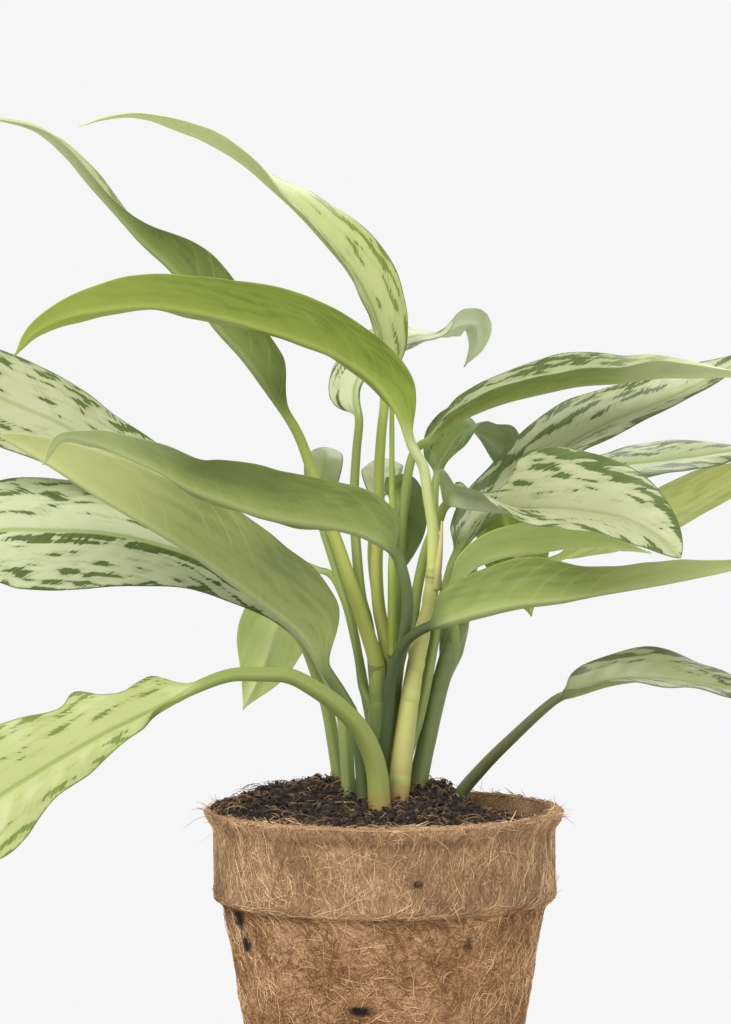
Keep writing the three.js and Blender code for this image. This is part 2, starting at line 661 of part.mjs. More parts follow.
// The soil fills the pot: a flat underside, the pot's inner wall, and a heaped top in rings round the axis.
function soilGeometry() {
  const sides = POT.sides;
  const around = (place) =>
    Array.from({ length: sides }, (_, i) => {
      const angle = (i / sides) * 2 * Math.PI;
      return place(Math.cos(angle), Math.sin(angle));
    });
  const level = (height) => {
    const radius = innerRadius(height) - CLEARANCE;
    return around((x, y) => new THREE.Vector3(radius * x, radius * y, height));
  };
  const wallRadius = innerRadius(SOIL.level) - CLEARANCE;
  const edgeHeight = (x, y) => Math.min(soilHeight(wallRadius * x, wallRadius * y), SOIL.edge);
  const heaped = (share) =>
    around((x, y) => {
      const edge = edgeHeight(x, y);
      const radius = share * (innerRadius(Math.min(edge, THROAT_HEIGHT)) - CLEARANCE);
      const height = share === 1 ? edge : soilHeight(radius * x, radius * y);
      return new THREE.Vector3(radius * x, radius * y, height);
    });
  const bottom = POT.floor + CLEARANCE;
  const rings = [level(bottom), level(POT.shoulderHeight)];
  for (let ring = SOIL.rings; ring > 0; ring--) rings.push(heaped(ring / SOIL.rings));
  const index = [];
  for (let ring = 0; ring < rings.length - 1; ring++)
    for (let i = 0; i < sides; i++) {
      const next = (i + 1) % sides;
      const [a, b] = [ring * sides + i, ring * sides + next];
      const [c, d] = [(ring + 1) * sides + next, (ring + 1) * sides + i];
      index.push(a, b, c, a, c, d);
    }
  const last = (rings.length - 1) * sides;
  const [under, top] = [rings.length * sides, rings.length * sides + 1];
  for (let i = 0; i < sides; i++) {
    const next = (i + 1) % sides;
    index.push(under, next, i, top, last + i, last + next);
  }
  const centres = [new THREE.Vector3(0, 0, bottom), new THREE.Vector3(0, 0, soilHeight(0, 0))];
  const positions = [...rings.flat(), ...centres].flatMap((point) => point.toArray());
  const geometry = new THREE.BufferGeometry();
  geometry.setAttribute("position", new THREE.Float32BufferAttribute(positions, 3));
  geometry.setIndex(index);
  return geometry;
}

// ---- the plant ----
const plant = new THREE.Group();

function addPiece(name, geometry, finish) {
  const mesh = new THREE.Mesh(geometry, new THREE.MeshStandardMaterial({ ...finish, metalness: 0 }));
  mesh.name = name;
  plant.add(mesh);
}

addPiece("pot", potGeometry(), COIR);

// The holes that the canes and the single stalks stand in follow them all the way, a clearance wider.
const rooted = LEAVES.filter((leaf) => leaf.on === "soil");
const holes = [
  ...CANES.map((cane) => stemSolid(cane.path, cane.radius, CLEARANCE)),
  ...rooted.map((leaf) => solidOf(loft(stalkRings(leaf, CLEARANCE)))),
];
const soil = holes.reduce((solid, hole) => solid.subtract(hole), solidOf(soilGeometry()));
addPiece("soil", geometryOf(soil), POTTING_SOIL);

// Each stalk's foot is hollowed to clasp its cane, with a clearance.
const caneRoom = new Map(CANES.map((cane) => [cane.name, caneSolid(cane, CLEARANCE)]));
const clasping = (solid, stem) => (caneRoom.has(stem) ? solid.subtract(caneRoom.get(stem)) : solid);

for (const cane of CANES) addPiece(cane.name, geometryOf(caneSolid(cane)), GREEN_STEM);

const spear = stemSolid(ROLLED_LEAF.path, ROLLED_LEAF.radius);
addPiece(ROLLED_LEAF.name, geometryOf(clasping(spear, ROLLED_LEAF.on)), LEAF_GREEN);

for (const leaf of LEAVES) addPiece(leaf.name, geometryOf(clasping(leafSolid(leaf), leaf.on)), LEAF_GREEN);

export default plant;
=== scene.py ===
import math
import random
from bisect import bisect_right

import bpy
from mathutils import Matrix, Vector, noise


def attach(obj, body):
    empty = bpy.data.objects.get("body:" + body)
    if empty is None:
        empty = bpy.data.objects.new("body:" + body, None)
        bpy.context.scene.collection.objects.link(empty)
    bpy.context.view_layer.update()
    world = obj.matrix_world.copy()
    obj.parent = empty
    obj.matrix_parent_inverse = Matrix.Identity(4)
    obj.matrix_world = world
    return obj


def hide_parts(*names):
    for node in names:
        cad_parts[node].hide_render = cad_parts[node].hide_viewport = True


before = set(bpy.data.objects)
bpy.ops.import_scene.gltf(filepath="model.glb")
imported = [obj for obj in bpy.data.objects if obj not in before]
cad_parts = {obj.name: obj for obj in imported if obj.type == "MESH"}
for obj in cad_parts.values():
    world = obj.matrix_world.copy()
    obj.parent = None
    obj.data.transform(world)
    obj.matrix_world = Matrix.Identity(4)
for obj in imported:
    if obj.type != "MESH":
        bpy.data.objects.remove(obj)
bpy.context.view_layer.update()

MM = 0.001

# ---- camera ----
# The photo was taken through a long lens from in front, a little above the leaves and looking slightly
# down. The aim is the middle of its frame.
CAMERA_PLACE = Vector((-7.45, -1800, 330))
CAMERA_AIM = Vector((-7.45, 0, 244.5))
PIXELS_PER_MM = 2.55  # at the pot's axis
FRAME_HEIGHT = 1024  # pixels
view_line = CAMERA_AIM - CAMERA_PLACE

bpy.ops.object.select_all(action="DESELECT")
bpy.ops.object.camera_add(location=CAMERA_PLACE * MM)
camera = bpy.context.object
camera.rotation_euler = view_line.to_track_quat("-Z", "Y").to_euler()
camera.data.lens = camera.data.sensor_width * PIXELS_PER_MM * view_line.length / FRAME_HEIGHT
bpy.context.scene.camera = camera

# ---- studio ----
# The pot stands on a sweep of pale paper, lit by the pale room and by soft boxes. Away from the pot the
# paper is as bright as the room behind it, so that no horizon shows.
ROOM_TONE = 0xF6F6F7
ROOM_LIGHT = 0.86  # of the tone, as light on the plant
PAPER_SIZE = 400  # metres
SHADOW_REACH = (0.09, 0.24)  # metres from the pot's axis, where the paper's own shade fades out
SOFT_BOXES = [  # place in metres, width in metres, watts
    ((-1.2, -1.6, 2.2), 1.4, 64),
    ((1.9, -1.9, 1.0), 1.6, 18),
    ((0.5, 1.6, 1.9), 1.4, 22),
]
SOFT_BOX_AIM = Vector((0, 0, 0.25))


def linear(colour):
    """The linear RGBA of an sRGB hex colour."""
    channels = [(colour >> shift & 255) / 255 for shift in (16, 8, 0)]
    return [c / 12.92 if c <= 0.04045 else ((c + 0.055) / 1.055) ** 2.4 for c in channels] + [1]


def add_node(tree, kind, inputs, **settings):
    """Adds a node. An input is a value, a node for its first output, or a (node, output name) pair."""
    node = tree.nodes.new("ShaderNode" + kind)
    for name, value in settings.items():
        setattr(node, name, value)
    for key, value in inputs.items():
        if isinstance(value, bpy.types.Node):
            tree.links.new(value.outputs[0], node.inputs[key])
        elif isinstance(value, tuple) and isinstance(value[0], bpy.types.Node):
            tree.links.new(value[0].outputs[value[1]], node.inputs[key])
        else:
            node.inputs[key].default_value = value
    return node


def new_material(name):
    """An empty node material and its tree."""
    material = bpy.data.materials.new(name)
    material.use_nodes = True
    material.node_tree.nodes.clear()
    return material, material.node_tree


bpy.ops.mesh.primitive_plane_add(size=PAPER_SIZE)
paper = bpy.context.object
paper.name = "studio_paper"

# Matt paper, which takes the pot's soft shadow near the pot and glows with the room's tone further off.
sweep, tree = new_material("matt paper sweep")
coordinates = add_node(tree, "TexCoord", {})
from_pot = add_node(tree, "VectorMath", {0: (coordinates, "Object")}, operation="LENGTH")
far = add_node(
    tree, "MapRange", {0: (from_pot, "Value"), 1: SHADOW_REACH[0], 2: SHADOW_REACH[1]},
    interpolation_type="SMOOTHSTEP",
)
matt = add_node(tree, "BsdfDiffuse", {"Color": linear(0xD2D2D3)})
glow = add_node(tree, "Emission", {"Color": linear(ROOM_TONE)})
blend = add_node(tree, "MixShader", {0: far, 1: matt, 2: glow})
add_node(tree, "OutputMaterial", {"Surface": blend})
paper.data.materials.append(sweep)

room = bpy.data.worlds.new("pale room")
room.use_nodes = True
room.node_tree.nodes.clear()
seen = add_node(room.node_tree, "LightPath", {})
strength = add_node(room.node_tree, "MapRange", {0: (seen, "Is Camera Ray"), 3: ROOM_LIGHT, 4: 1})
walls = add_node(room.node_tree, "Background", {"Color": linear(ROOM_TONE), "Strength": strength})
add_node(room.node_tree, "OutputWorld", {"Surface": walls})
bpy.context.scene.world = room
bpy.context.scene.view_settings.view_transform = "Standard"

for place, width, watts in SOFT_BOXES:
    bpy.ops.object.light_add(type="AREA", location=place)
    soft_box = bpy.context.object
    soft_box.rotation_euler = (SOFT_BOX_AIM - Vector(place)).to_track_quat("-Z", "Y").to_euler()
    soft_box.data.size = width
    soft_box.data.energy = watts

# ---- pot wall ----
# A nursery pot of coir: coconut fibre felted with a binder and hot pressed over a form, about 4 mm thick.
# Pressing leaves a tapered body, a wider collar above it and a frayed lip, where the felt was trimmed.
POT_HEIGHT = 128
SHOULDER_HEIGHT = 92  # where the collar starts
LIP_START = 121
OUTSIDE = [  # height and radius
    (0, 47.2), (1.5, 48), (SHOULDER_HEIGHT, 63), (92.6, 66), (95, 66.8), (LIP_START, 66.8),
    (123.5, 68.9), (125.5, 70.2), (127, 70.6), (POT_HEIGHT, 69.6),
]
INSIDE = [(5, 44.8), (SHOULDER_HEIGHT, 59), (LIP_START, 63), (127.2, 66.2), (POT_HEIGHT, 67)]
AROUND_POT = 400  # points around
TURNS = [2 * math.pi * place / AROUND_POT for place in range(AROUND_POT)]
OUTER_SPACING = 1.1  # between the rings of points up the outside
INNER_SPACING = 1.6
UNDERSIDE_RING = 30  # radius of the one ring of points under the base
LIP_RINGS = (68.8, 68)  # radii of the rings over the top of the lip
TRIM_START = 120  # the ragged trimming of the lip fades out towards this height
COLLAR_FADE = (91 * MM, 95 * MM)  # heights between which the body's felt turns to the collar's
noise.seed_set(11)  # noise_vector takes its offsets from this, and from the clock if no seed is set


def between(stops, at):
    """Reads a value off (place, value) stops, straight from stop to stop and level past the ends."""
    if at <= stops[0][0]:
        return stops[0][1]
    for (low, first), (high, second) in zip(stops, stops[1:]):
        if at <= high:
            return first + (second - first) * (at - low) / (high - low)
    return stops[-1][1]


def felt_relief(point):
    """How far the felt stands proud of its pressed form at a point on the wall."""
    collar = between([(SHOULDER_HEIGHT, 0), (SHOULDER_HEIGHT + 4, 1)], point.z)
    lip = between([(LIP_START - 1, 0), (LIP_START + 3, 1)], point.z)
    lumps = 0.45 * noise.noise(point / 21) + 0.12 * noise.noise(point / 6)
    warped = point + 5 * noise.noise_vector(point / 11)
    tangle = 0.2 * (1 - 3 * abs(noise.noise(warped / 2.6)))
    streaks = 0.16 * (1 - 3 * abs(noise.noise(Vector((point.x / 1.5, point.y / 1.5, point.z / 13)))))
    ragged = 0.55 * noise.noise(point / 4) + 0.5 * noise.noise(point / 1.6)
    return lumps + tangle * (1 - collar) + streaks * collar * (1 - lip) + ragged * lip


def wall_point(angle, height, lift=0.0):
    """A point on the outside of the felted wall, or lifted off it."""
    radius = between(OUTSIDE, height)
    form = Vector((radius * math.cos(angle), radius * math.sin(angle), height))
    outward = Vector((math.cos(angle), math.sin(angle), 0))
    return form + outward * (felt_relief(form) + lift)


def skin_over(name, rows, marks=None):
    """A grid primitive wrapped round rows of points, in metres, and closed at its seam and both ends."""
    around = len(rows[0])
    bpy.ops.object.select_all(action="DESELECT")
    bpy.ops.mesh.primitive_grid_add(x_subdivisions=around, y_subdivisions=len(rows) - 1, size=1)
    piece = bpy.context.object
    piece.name = name
    piece.data.name = name
    for attribute in marks or {}:
        piece.data.attributes.new(attribute, "FLOAT_VECTOR", "POINT")
    for vertex in piece.data.vertices:
        column = round((vertex.co.x + 0.5) * around) % around
        row = round((vertex.co.y + 0.5) * (len(rows) - 1))
        vertex.co = rows[row][column] * MM
        for attribute, values in (marks or {}).items():
            piece.data.attributes[attribute].data[vertex.index].vector = values[row][column]
    bpy.ops.object.mode_set(mode="EDIT")
    bpy.ops.mesh.select_all(action="SELECT")
    bpy.ops.mesh.remove_doubles(threshold=1e-7)
    bpy.ops.mesh.normals_make_consistent(inside=False)
    bpy.ops.object.mode_set(mode="OBJECT")
    bpy.ops.object.shade_smooth()
    return piece


def spaced(stops, spacing):
    """More stops between the given ones, so that none lie further apart than the spacing."""
    made = [stops[0]]
    for (low, first), (high, second) in zip(stops, stops[1:]):
        count = max(1, math.ceil(math.hypot(high - low, second - first) / spacing))
        for step in range(1, count + 1):
            share = step / count
            made.append((low + (high - low) * share, first + (second - first) * share))
    return made


def ring(radius, height):
    """A ring of points round the pot's axis."""
    return [Vector((radius * math.cos(turn), radius * math.sin(turn), height)) for turn in TURNS]


rows = [ring(0, 0), ring(UNDERSIDE_RING, 0)]
rows += [[wall_point(turn, height) for turn in TURNS] for height, _ in spaced(OUTSIDE, OUTER_SPACING)]
rim = [point.z + 0.9 * noise.noise(point / 3.3) + 0.6 * noise.noise(point / 1.3) for point in rows[-1]]
for row in rows[-4:]:
    for point, height in zip(row, rim):
        point.z += (height - POT_HEIGHT) * (point.z - TRIM_START) / (POT_HEIGHT - TRIM_START)
rows += [
    [Vector((p.x, p.y, p.z + 0.7 * noise.noise(p / 2.1))) for p in ring(radius, POT_HEIGHT)]
    for radius in LIP_RINGS
]
inner_stops = spaced(INSIDE[1:], INNER_SPACING)
rows += [
    [p + Vector((p.x, p.y, 0)).normalized() * 0.7 * noise.noise(p / 2.6) for p in ring(radius, height)]
    for height, radius in reversed(inner_stops)
]
rows += [ring(INSIDE[0][1], INSIDE[0][0]), ring(0, INSIDE[0][0])]
inner_rows = len(inner_stops) + 2
marks = [
    [Vector((1 if number >= len(rows) - inner_rows else 0, 0, 0))] * AROUND_POT
    for number in range(len(rows))
]
coir_wall = skin_over("coir_wall", rows, {"inside": marks})
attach(coir_wall, "root")
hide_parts("pot")

INK_STAINS = [  # place on the wall and half size: generic ink marks, soaked into the fibres
    (Vector((-57, -28, 88)), (5, 5, 5)),
    (Vector((-54, -29, 78)), (4, 4, 4)),
    (Vector((33, -54, 80)), (3.4, 3, 5)),
    (Vector((-10, -57, 56)), (6, 3, 2.4)),
    (Vector((12, -64, 106)), (3, 3, 2)),
]


def ink_mask(tree, place):
    """The last node of a mask that is 1 inside the ink marks, with feathered, fibrous edges."""
    grain = add_node(tree, "TexNoise", {"Vector": place, "Scale": 900, "Detail": 3})
    mask = None
    for centre, half in INK_STAINS:
        offset = add_node(tree, "VectorMath", {0: place, 1: centre * MM}, operation="SUBTRACT")
        scaled = add_node(
            tree, "VectorMath", {0: offset, 1: [1 / (size * MM) for size in half]}, operation="MULTIPLY"
        )
        away = add_node(tree, "VectorMath", {0: scaled}, operation="LENGTH")
        rough = add_node(tree, "Math", {0: (away, "Value"), 1: (grain, "Fac")}, operation="ADD")
        inside = add_node(tree, "MapRange", {0: rough, 1: 1.05, 2: 1.6, 3: 1, 4: 0})
        mask = add_node(tree, "Math", {0: inside, 1: mask}, operation="MAXIMUM") if mask else inside
    return mask


# Felted coir: matt brown fibre with painted shade in the hollows between the threads. The fine threads are
# drawn 0.4 mm wide, in two crossing layers that swirl on the body and stand upright on the collar.
felt, tree = new_material("felted coir")
coordinates = add_node(tree, "TexCoord", {})
place = (coordinates, "Object")
height = add_node(tree, "SeparateXYZ", {0: place})
on_collar = add_node(tree, "MapRange", {0: (height, "Z"), 1: COLLAR_FADE[0], 2: COLLAR_FADE[1]})
swirl = add_node(tree, "TexNoise", {"Vector": place, "Scale": 70, "Detail": 2})
sway = add_node(tree, "VectorMath", {0: (swirl, "Color"), 1: (0.5, 0.5, 0.5)}, operation="SUBTRACT")
reach = add_node(tree, "MapRange", {0: on_collar, 3: 0.03, 4: 0.006})
shift = add_node(tree, "VectorMath", {0: (sway, "Vector"), "Scale": reach}, operation="SCALE")
swayed = add_node(tree, "VectorMath", {0: place, 1: shift}, operation="ADD")
upright = add_node(tree, "VectorMath", {0: swayed, 1: (2600, 2600, 170)}, operation="MULTIPLY")
lying = add_node(tree, "VectorMath", {0: swayed, 1: (330, 330, 2700)}, operation="MULTIPLY")
upright_threads = add_node(tree, "TexNoise", {"Vector": upright, "Scale": 1, "Detail": 3})
lying_threads = add_node(tree, "TexNoise", {"Vector": lying, "Scale": 1, "Detail": 3})
lying_share = add_node(tree, "MapRange", {0: on_collar, 3: 0.5, 4: 0.15})
threads = add_node(tree, "Mix", {0: lying_share, 2: upright_threads, 3: lying_threads})
patches = add_node(tree, "TexNoise", {"Vector": place, "Scale": 45, "Detail": 4})
tone = add_node(tree, "Math", {0: patches, 1: 0.38, 2: threads}, operation="MULTIPLY_ADD")
# the dark low end is partly painted shade, where the threads lie low, and partly the felt's own patchy
# tone
colour = add_node(tree, "ValToRGB", {0: tone})
colour.color_ramp.elements[0].position = 0.48
colour.color_ramp.elements[0].color = linear(0x3E2818)
colour.color_ramp.elements[1].position = 0.85
colour.color_ramp.elements[1].color = linear(0xCDAA84)
colour.color_ramp.elements.new(0.58).color = linear(0x7B5535)
colour.color_ramp.elements.new(0.71).color = linear(0xA67D55)
# the collar was pressed drier and greyer, and the inside of the wall is much darker
dry = add_node(tree, "MapRange", {0: on_collar, 4: 0.12})
greyed = add_node(tree, "Mix", {0: dry, 6: colour, 7: linear(0xB5A48F)}, data_type="RGBA")
inside = add_node(tree, "Attribute", {}, attribute_name="inside")
darker_inside = add_node(tree, "MapRange", {0: (inside, "Fac"), 4: 0.9})
greyed = add_node(tree, "Mix", {0: darker_inside, 6: (greyed, "Result"), 7: linear(0x2E2118)}, data_type="RGBA")
stained = add_node(
    tree, "Mix", {0: ink_mask(tree, place), 6: (greyed, "Result"), 7: linear(0x2A2522)}, data_type="RGBA"
)
bump = add_node(tree, "Bump", {"Height": threads, "Strength": 0.5, "Distance": 0.6 * MM})
shader = add_node(
    tree, "BsdfPrincipled",
    {"Base Color": (stained, "Result"), "Roughness": 0.95, "Specular IOR Level": 0.2, "Normal": bump},
)
add_node(tree, "OutputMaterial", {"Surface": shader})
coir_wall.data.materials.append(felt)

# ---- coir threads ----
# The felt's outer fibres lie loose over the wall: upright on the collar, tangled on the body and along
# the seam below the collar. At the lip, where the felt was trimmed, their cut ends stand out as a fringe.
BODY_THREADS = 5000
COLLAR_THREADS = 4000
SEAM_THREADS = 1000
FINE_THREADS = 9000
FRINGE_THREADS = 3600
STRAY_HAIRS = 60


def join_threads(name, threads):
    """One mesh of three-sided threads. A thread is (points, radius, shade, facing) and ends in points."""
    corners, faces, shades = [], [], []
    for points, radius, shade, facing in threads:
        last = len(points) - 1
        start = len(corners)
        for step, point in enumerate(points):
            along = points[min(step + 1, last)] - points[max(step - 1, 0)]
            across = along.cross(facing).normalized()
            above = across.cross(along).normalized()
            girth = radius * (0.3 if step in (0, last) else 1)
            for across_share, above_share in ((0, 1), (0.866, -0.5), (-0.866, -0.5)):
                corners.append((point + (across * across_share + above * above_share) * girth) * MM)
            shades += [shade] * 3
        for step in range(last):
            a = start + 3 * step
            faces += [(a + k, a + (k + 1) % 3, a + 3 + (k + 1) % 3, a + 3 + k) for k in range(3)]
        faces += [(start + 2, start + 1, start), tuple(start + 3 * last + k for k in range(3))]
    mesh = bpy.data.meshes.new(name)
    mesh.from_pydata(corners, [], faces)
    mesh.attributes.new("shade", "FLOAT", "POINT").data.foreach_set("value", shades)
    piece = bpy.data.objects.new(name, mesh)
    bpy.context.scene.collection.objects.link(piece)
    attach(piece, "root")
    return piece


def wall_thread(rng, angle, height, heading, length, curl, lift, steps=5):
    """A thread that wanders over the wall and dips into it at both ends; heading 0 is straight up."""
    points = []
    step_length = length / steps
    for step in range(steps + 1):
        bulge = lift * math.sin(math.pi * step / steps)
        points.append(wall_point(angle, height, bulge))
        height += step_length * math.cos(heading)
        height = max(1.5, min(height, POT_HEIGHT - 1))
        angle += step_length * math.sin(heading) / between(OUTSIDE, height)
        heading += curl + rng.gauss(0, 0.25)
    facing = Vector((math.cos(angle), math.sin(angle), 0))
    return points, rng.uniform(0.06, 0.15) * (steps / 5) ** 0.5, rng.random(), facing


rng = random.Random(11)
threads = [
    wall_thread(
        rng, rng.uniform(0, 2 * math.pi), rng.uniform(2, SHOULDER_HEIGHT - 2), rng.uniform(0, 2 * math.pi),
        rng.uniform(6, 24), rng.gauss(0, 0.5), rng.uniform(0.15, 0.6),
    )
    for _ in range(BODY_THREADS)
]
body_threads = join_threads("coir_body_threads", threads)
threads = [
    wall_thread(
        rng, rng.uniform(0, 2 * math.pi), rng.uniform(2, SHOULDER_HEIGHT - 1), rng.uniform(0, 2 * math.pi),
        rng.uniform(2, 7), rng.gauss(0, 0.8), rng.uniform(0.15, 0.5), 3,
    )
    for _ in range(FINE_THREADS)
]
fine_body_threads = join_threads("coir_fine_body_threads", threads)
threads = [
    wall_thread(
        rng, rng.uniform(0, 2 * math.pi), rng.uniform(SHOULDER_HEIGHT + 1, LIP_START), rng.gauss(0, 0.8),
        rng.uniform(2, 6), rng.gauss(0, 0.5), rng.uniform(0.12, 0.45), 3,
    )
    for _ in range(FINE_THREADS)
]
fine_collar_threads = join_threads("coir_fine_collar_threads", threads)
threads = [
    wall_thread(
        rng, rng.uniform(0, 2 * math.pi), rng.uniform(SHOULDER_HEIGHT + 1, LIP_START), rng.gauss(0, 0.5),
        rng.uniform(6, 20), rng.gauss(0, 0.14), rng.uniform(0.12, 0.5),
    )
    for _ in range(COLLAR_THREADS)
]
threads += [
    wall_thread(
        rng, rng.uniform(0, 2 * math.pi), rng.gauss(SHOULDER_HEIGHT, 1.4),
        math.pi / 2 + rng.gauss(0, 0.45), rng.uniform(6, 22), rng.gauss(0, 0.25), rng.uniform(0.2, 1.1),
    )
    for _ in range(SEAM_THREADS)
]
collar_threads = join_threads("coir_collar_threads", threads)

threads = []
for _ in range(FRINGE_THREADS):
    turn = rng.uniform(0, 2 * math.pi)
    outward = Vector((math.cos(turn), math.sin(turn), 0))
    tangent = Vector((-outward.y, outward.x, 0))
    inset = rng.uniform(0, 3.6)
    height = POT_HEIGHT - 0.2 - rng.uniform(0, 3.5) * (inset < 1.5)
    start = outward * (OUTSIDE[-1][1] - inset) + Vector((0, 0, height))
    loose = 1 if rng.random() < 0.2 else 0.25
    aim = outward * rng.gauss(0.1, 0.5) * loose + Vector((0, 0, rng.gauss(0.05, 0.4) * loose))
    aim += tangent * rng.choice((-1, 1))
    bend = Vector((rng.gauss(0, 1), rng.gauss(0, 1), rng.gauss(-0.2, 0.5))) * loose
    length = rng.uniform(2, 6)
    points = [start + aim * length * s + bend * length * 0.35 * s * s for s in (0, 0.33, 0.66, 1)]
    threads.append((points, rng.uniform(0.09, 0.2), rng.random(), outward))
lip_fringe = join_threads("coir_lip_fringe", threads)

threads = []
for _ in range(STRAY_HAIRS):
    turn = rng.uniform(0, 2 * math.pi)
    height = rng.choice((rng.uniform(12, 120), rng.uniform(90, 95), rng.uniform(124, 128)))
    outward = Vector((math.cos(turn), math.sin(turn), 0))
    tangent = Vector((-outward.y, outward.x, 0))
    start = wall_point(turn, height, -0.3)
    aim = outward * rng.uniform(0.4, 1) + tangent * rng.gauss(0, 0.7) + Vector((0, 0, rng.gauss(0.2, 0.7)))
    bend = Vector((rng.gauss(0, 0.5), rng.gauss(0, 0.5), rng.gauss(-0.5, 0.5)))
    length = rng.uniform(3, 8)
    points = [start + aim * length * s / 5 + bend * length * (s / 5) ** 2 for s in range(6)]
    threads.append((points, rng.uniform(0.06, 0.1), rng.uniform(0.3, 1), tangent))
stray_hairs = join_threads("coir_stray_hairs", threads)

# Coir fibre: round hard threads, straw to red-brown, with a faint sheen along them.
coir_thread, tree = new_material("coir fibre")
shade = add_node(tree, "Attribute", {}, attribute_name="shade")
coordinates = add_node(tree, "TexCoord", {})
place = (coordinates, "Object")
blotches = add_node(tree, "TexNoise", {"Vector": place, "Scale": 55, "Detail": 3})
tone = add_node(tree, "Math", {0: (shade, "Fac"), 1: 0.7, 2: -0.35}, operation="MULTIPLY_ADD")
tone = add_node(tree, "Math", {0: tone, 1: blotches}, operation="ADD")
colour = add_node(tree, "ValToRGB", {0: tone})
colour.color_ramp.elements[0].position = 0.15
colour.color_ramp.elements[0].color = linear(0x745232)
colour.color_ramp.elements[1].position = 0.85
colour.color_ramp.elements[1].color = linear(0xF2D2A4)
colour.color_ramp.elements.new(0.36).color = linear(0x936A43)
colour.color_ramp.elements.new(0.6).color = linear(0xBB9365)
height = add_node(tree, "SeparateXYZ", {0: place})
dry = add_node(tree, "MapRange", {0: (height, "Z"), 1: COLLAR_FADE[0], 2: COLLAR_FADE[1], 4: 0.2})
greyed = add_node(tree, "Mix", {0: dry, 6: colour, 7: linear(0xCBB294)}, data_type="RGBA")
stained = add_node(
    tree, "Mix", {0: ink_mask(tree, place), 6: (greyed, "Result"), 7: linear(0x2E2824)}, data_type="RGBA"
)
shader = add_node(
    tree, "BsdfPrincipled",
    {"Base Color": (stained, "Result"), "Roughness": 0.75, "Specular IOR Level": 0.3},
)
add_node(tree, "OutputMaterial", {"Surface": shader})
for piece in (
    body_threads, fine_body_threads, collar_threads, fine_collar_threads, lip_fringe, stray_hairs,
):
    piece.data.materials.append(coir_thread)

# ---- soil ----
# Dark potting mix of bark, peat and coir dust fills the pot, heaped round the stems and against the left
# of the wall. It is loose crumbs on a rough bed, with short roots and pale fibres among them.
SOIL_LEVEL = 122  # height on the pot's axis, without the heaps
SOIL_TILT = -0.03  # rise for each millimetre to the right
SOIL_EDGE = 126.8  # as high as it lies against the wall
SOIL_FLOOR = 6  # just above the floor of the pot
WALL_TOUCH = 62  # radius where the soil's height at the wall is read
WALL_GAP = 0.4  # between the soil and the wall, below the surface
BED_GAP = 0.6  # and at the surface, where the bed is rough
LIP_SLOPE = [(61, SOIL_EDGE), (65.5, 127), (67, POT_HEIGHT)]  # radius and height under spilled crumbs
SOIL_HEAPS = [  # rise, centre x and y, spread
    (12, -24, 22, 24),
    (6, 4, -4, 22),
    (11, 22, 12, 10),
    (3, -56, 4, 18),
]
SOIL_RINGS = 72
STEM_FEET = [  # x, y and radius of each stem at the soil: no crumb lies inside one
    (-2, 7, 3.4), (4, 15, 4), (5, -1, 5.2), (12, 9, 4.1), (29, 9, 3.2), (-2, -13, 4.9), (-8, -6, 3.3),
    (-17, 24, 3.2), (-14, 1, 3.2), (-3.2, -1, 2.8),
]
CRUMBS = 9000
SPILLED_CRUMBS = 900
SOIL_ROOTS = 1700


def soil_height(x, y):
    height = SOIL_LEVEL + SOIL_TILT * x
    for rise, heap_x, heap_y, spread in SOIL_HEAPS:
        away = ((x - heap_x) ** 2 + (y - heap_y) ** 2) / spread**2
        height += rise * math.exp(-away / 2)
    return height


def soil_point(turn, share):
    """A point of the rough bed, at a share of the way from the pot's axis to its wall."""
    at_touch = soil_height(WALL_TOUCH * math.cos(turn), WALL_TOUCH * math.sin(turn))
    radius = share * (between(INSIDE, min(at_touch, SOIL_EDGE)) - BED_GAP)
    x, y = radius * math.cos(turn), radius * math.sin(turn)
    at_wall = between([(0.86, 0), (1, 1)], share)
    height = soil_height(x, y)
    height += (min(height, SOIL_EDGE) - height) * at_wall
    place = Vector((x, y, 0))
    rough = 2.4 * abs(noise.noise(place / 5)) + 1.5 * abs(noise.noise(place / 2.2)) - 1.2
    return Vector((x, y, height + rough))


rows = [[soil_point(turn, step / SOIL_RINGS) for turn in TURNS] for step in range(SOIL_RINGS + 1)]
rows += [ring(between(INSIDE, height) - WALL_GAP, height) for height in (118, 104, SHOULDER_HEIGHT)]
rows += [ring(INSIDE[0][1] - WALL_GAP, SOIL_FLOOR), ring(0, SOIL_FLOOR)]
soil_bed = skin_over("soil_bed", rows)
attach(soil_bed, "root")
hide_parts("soil")

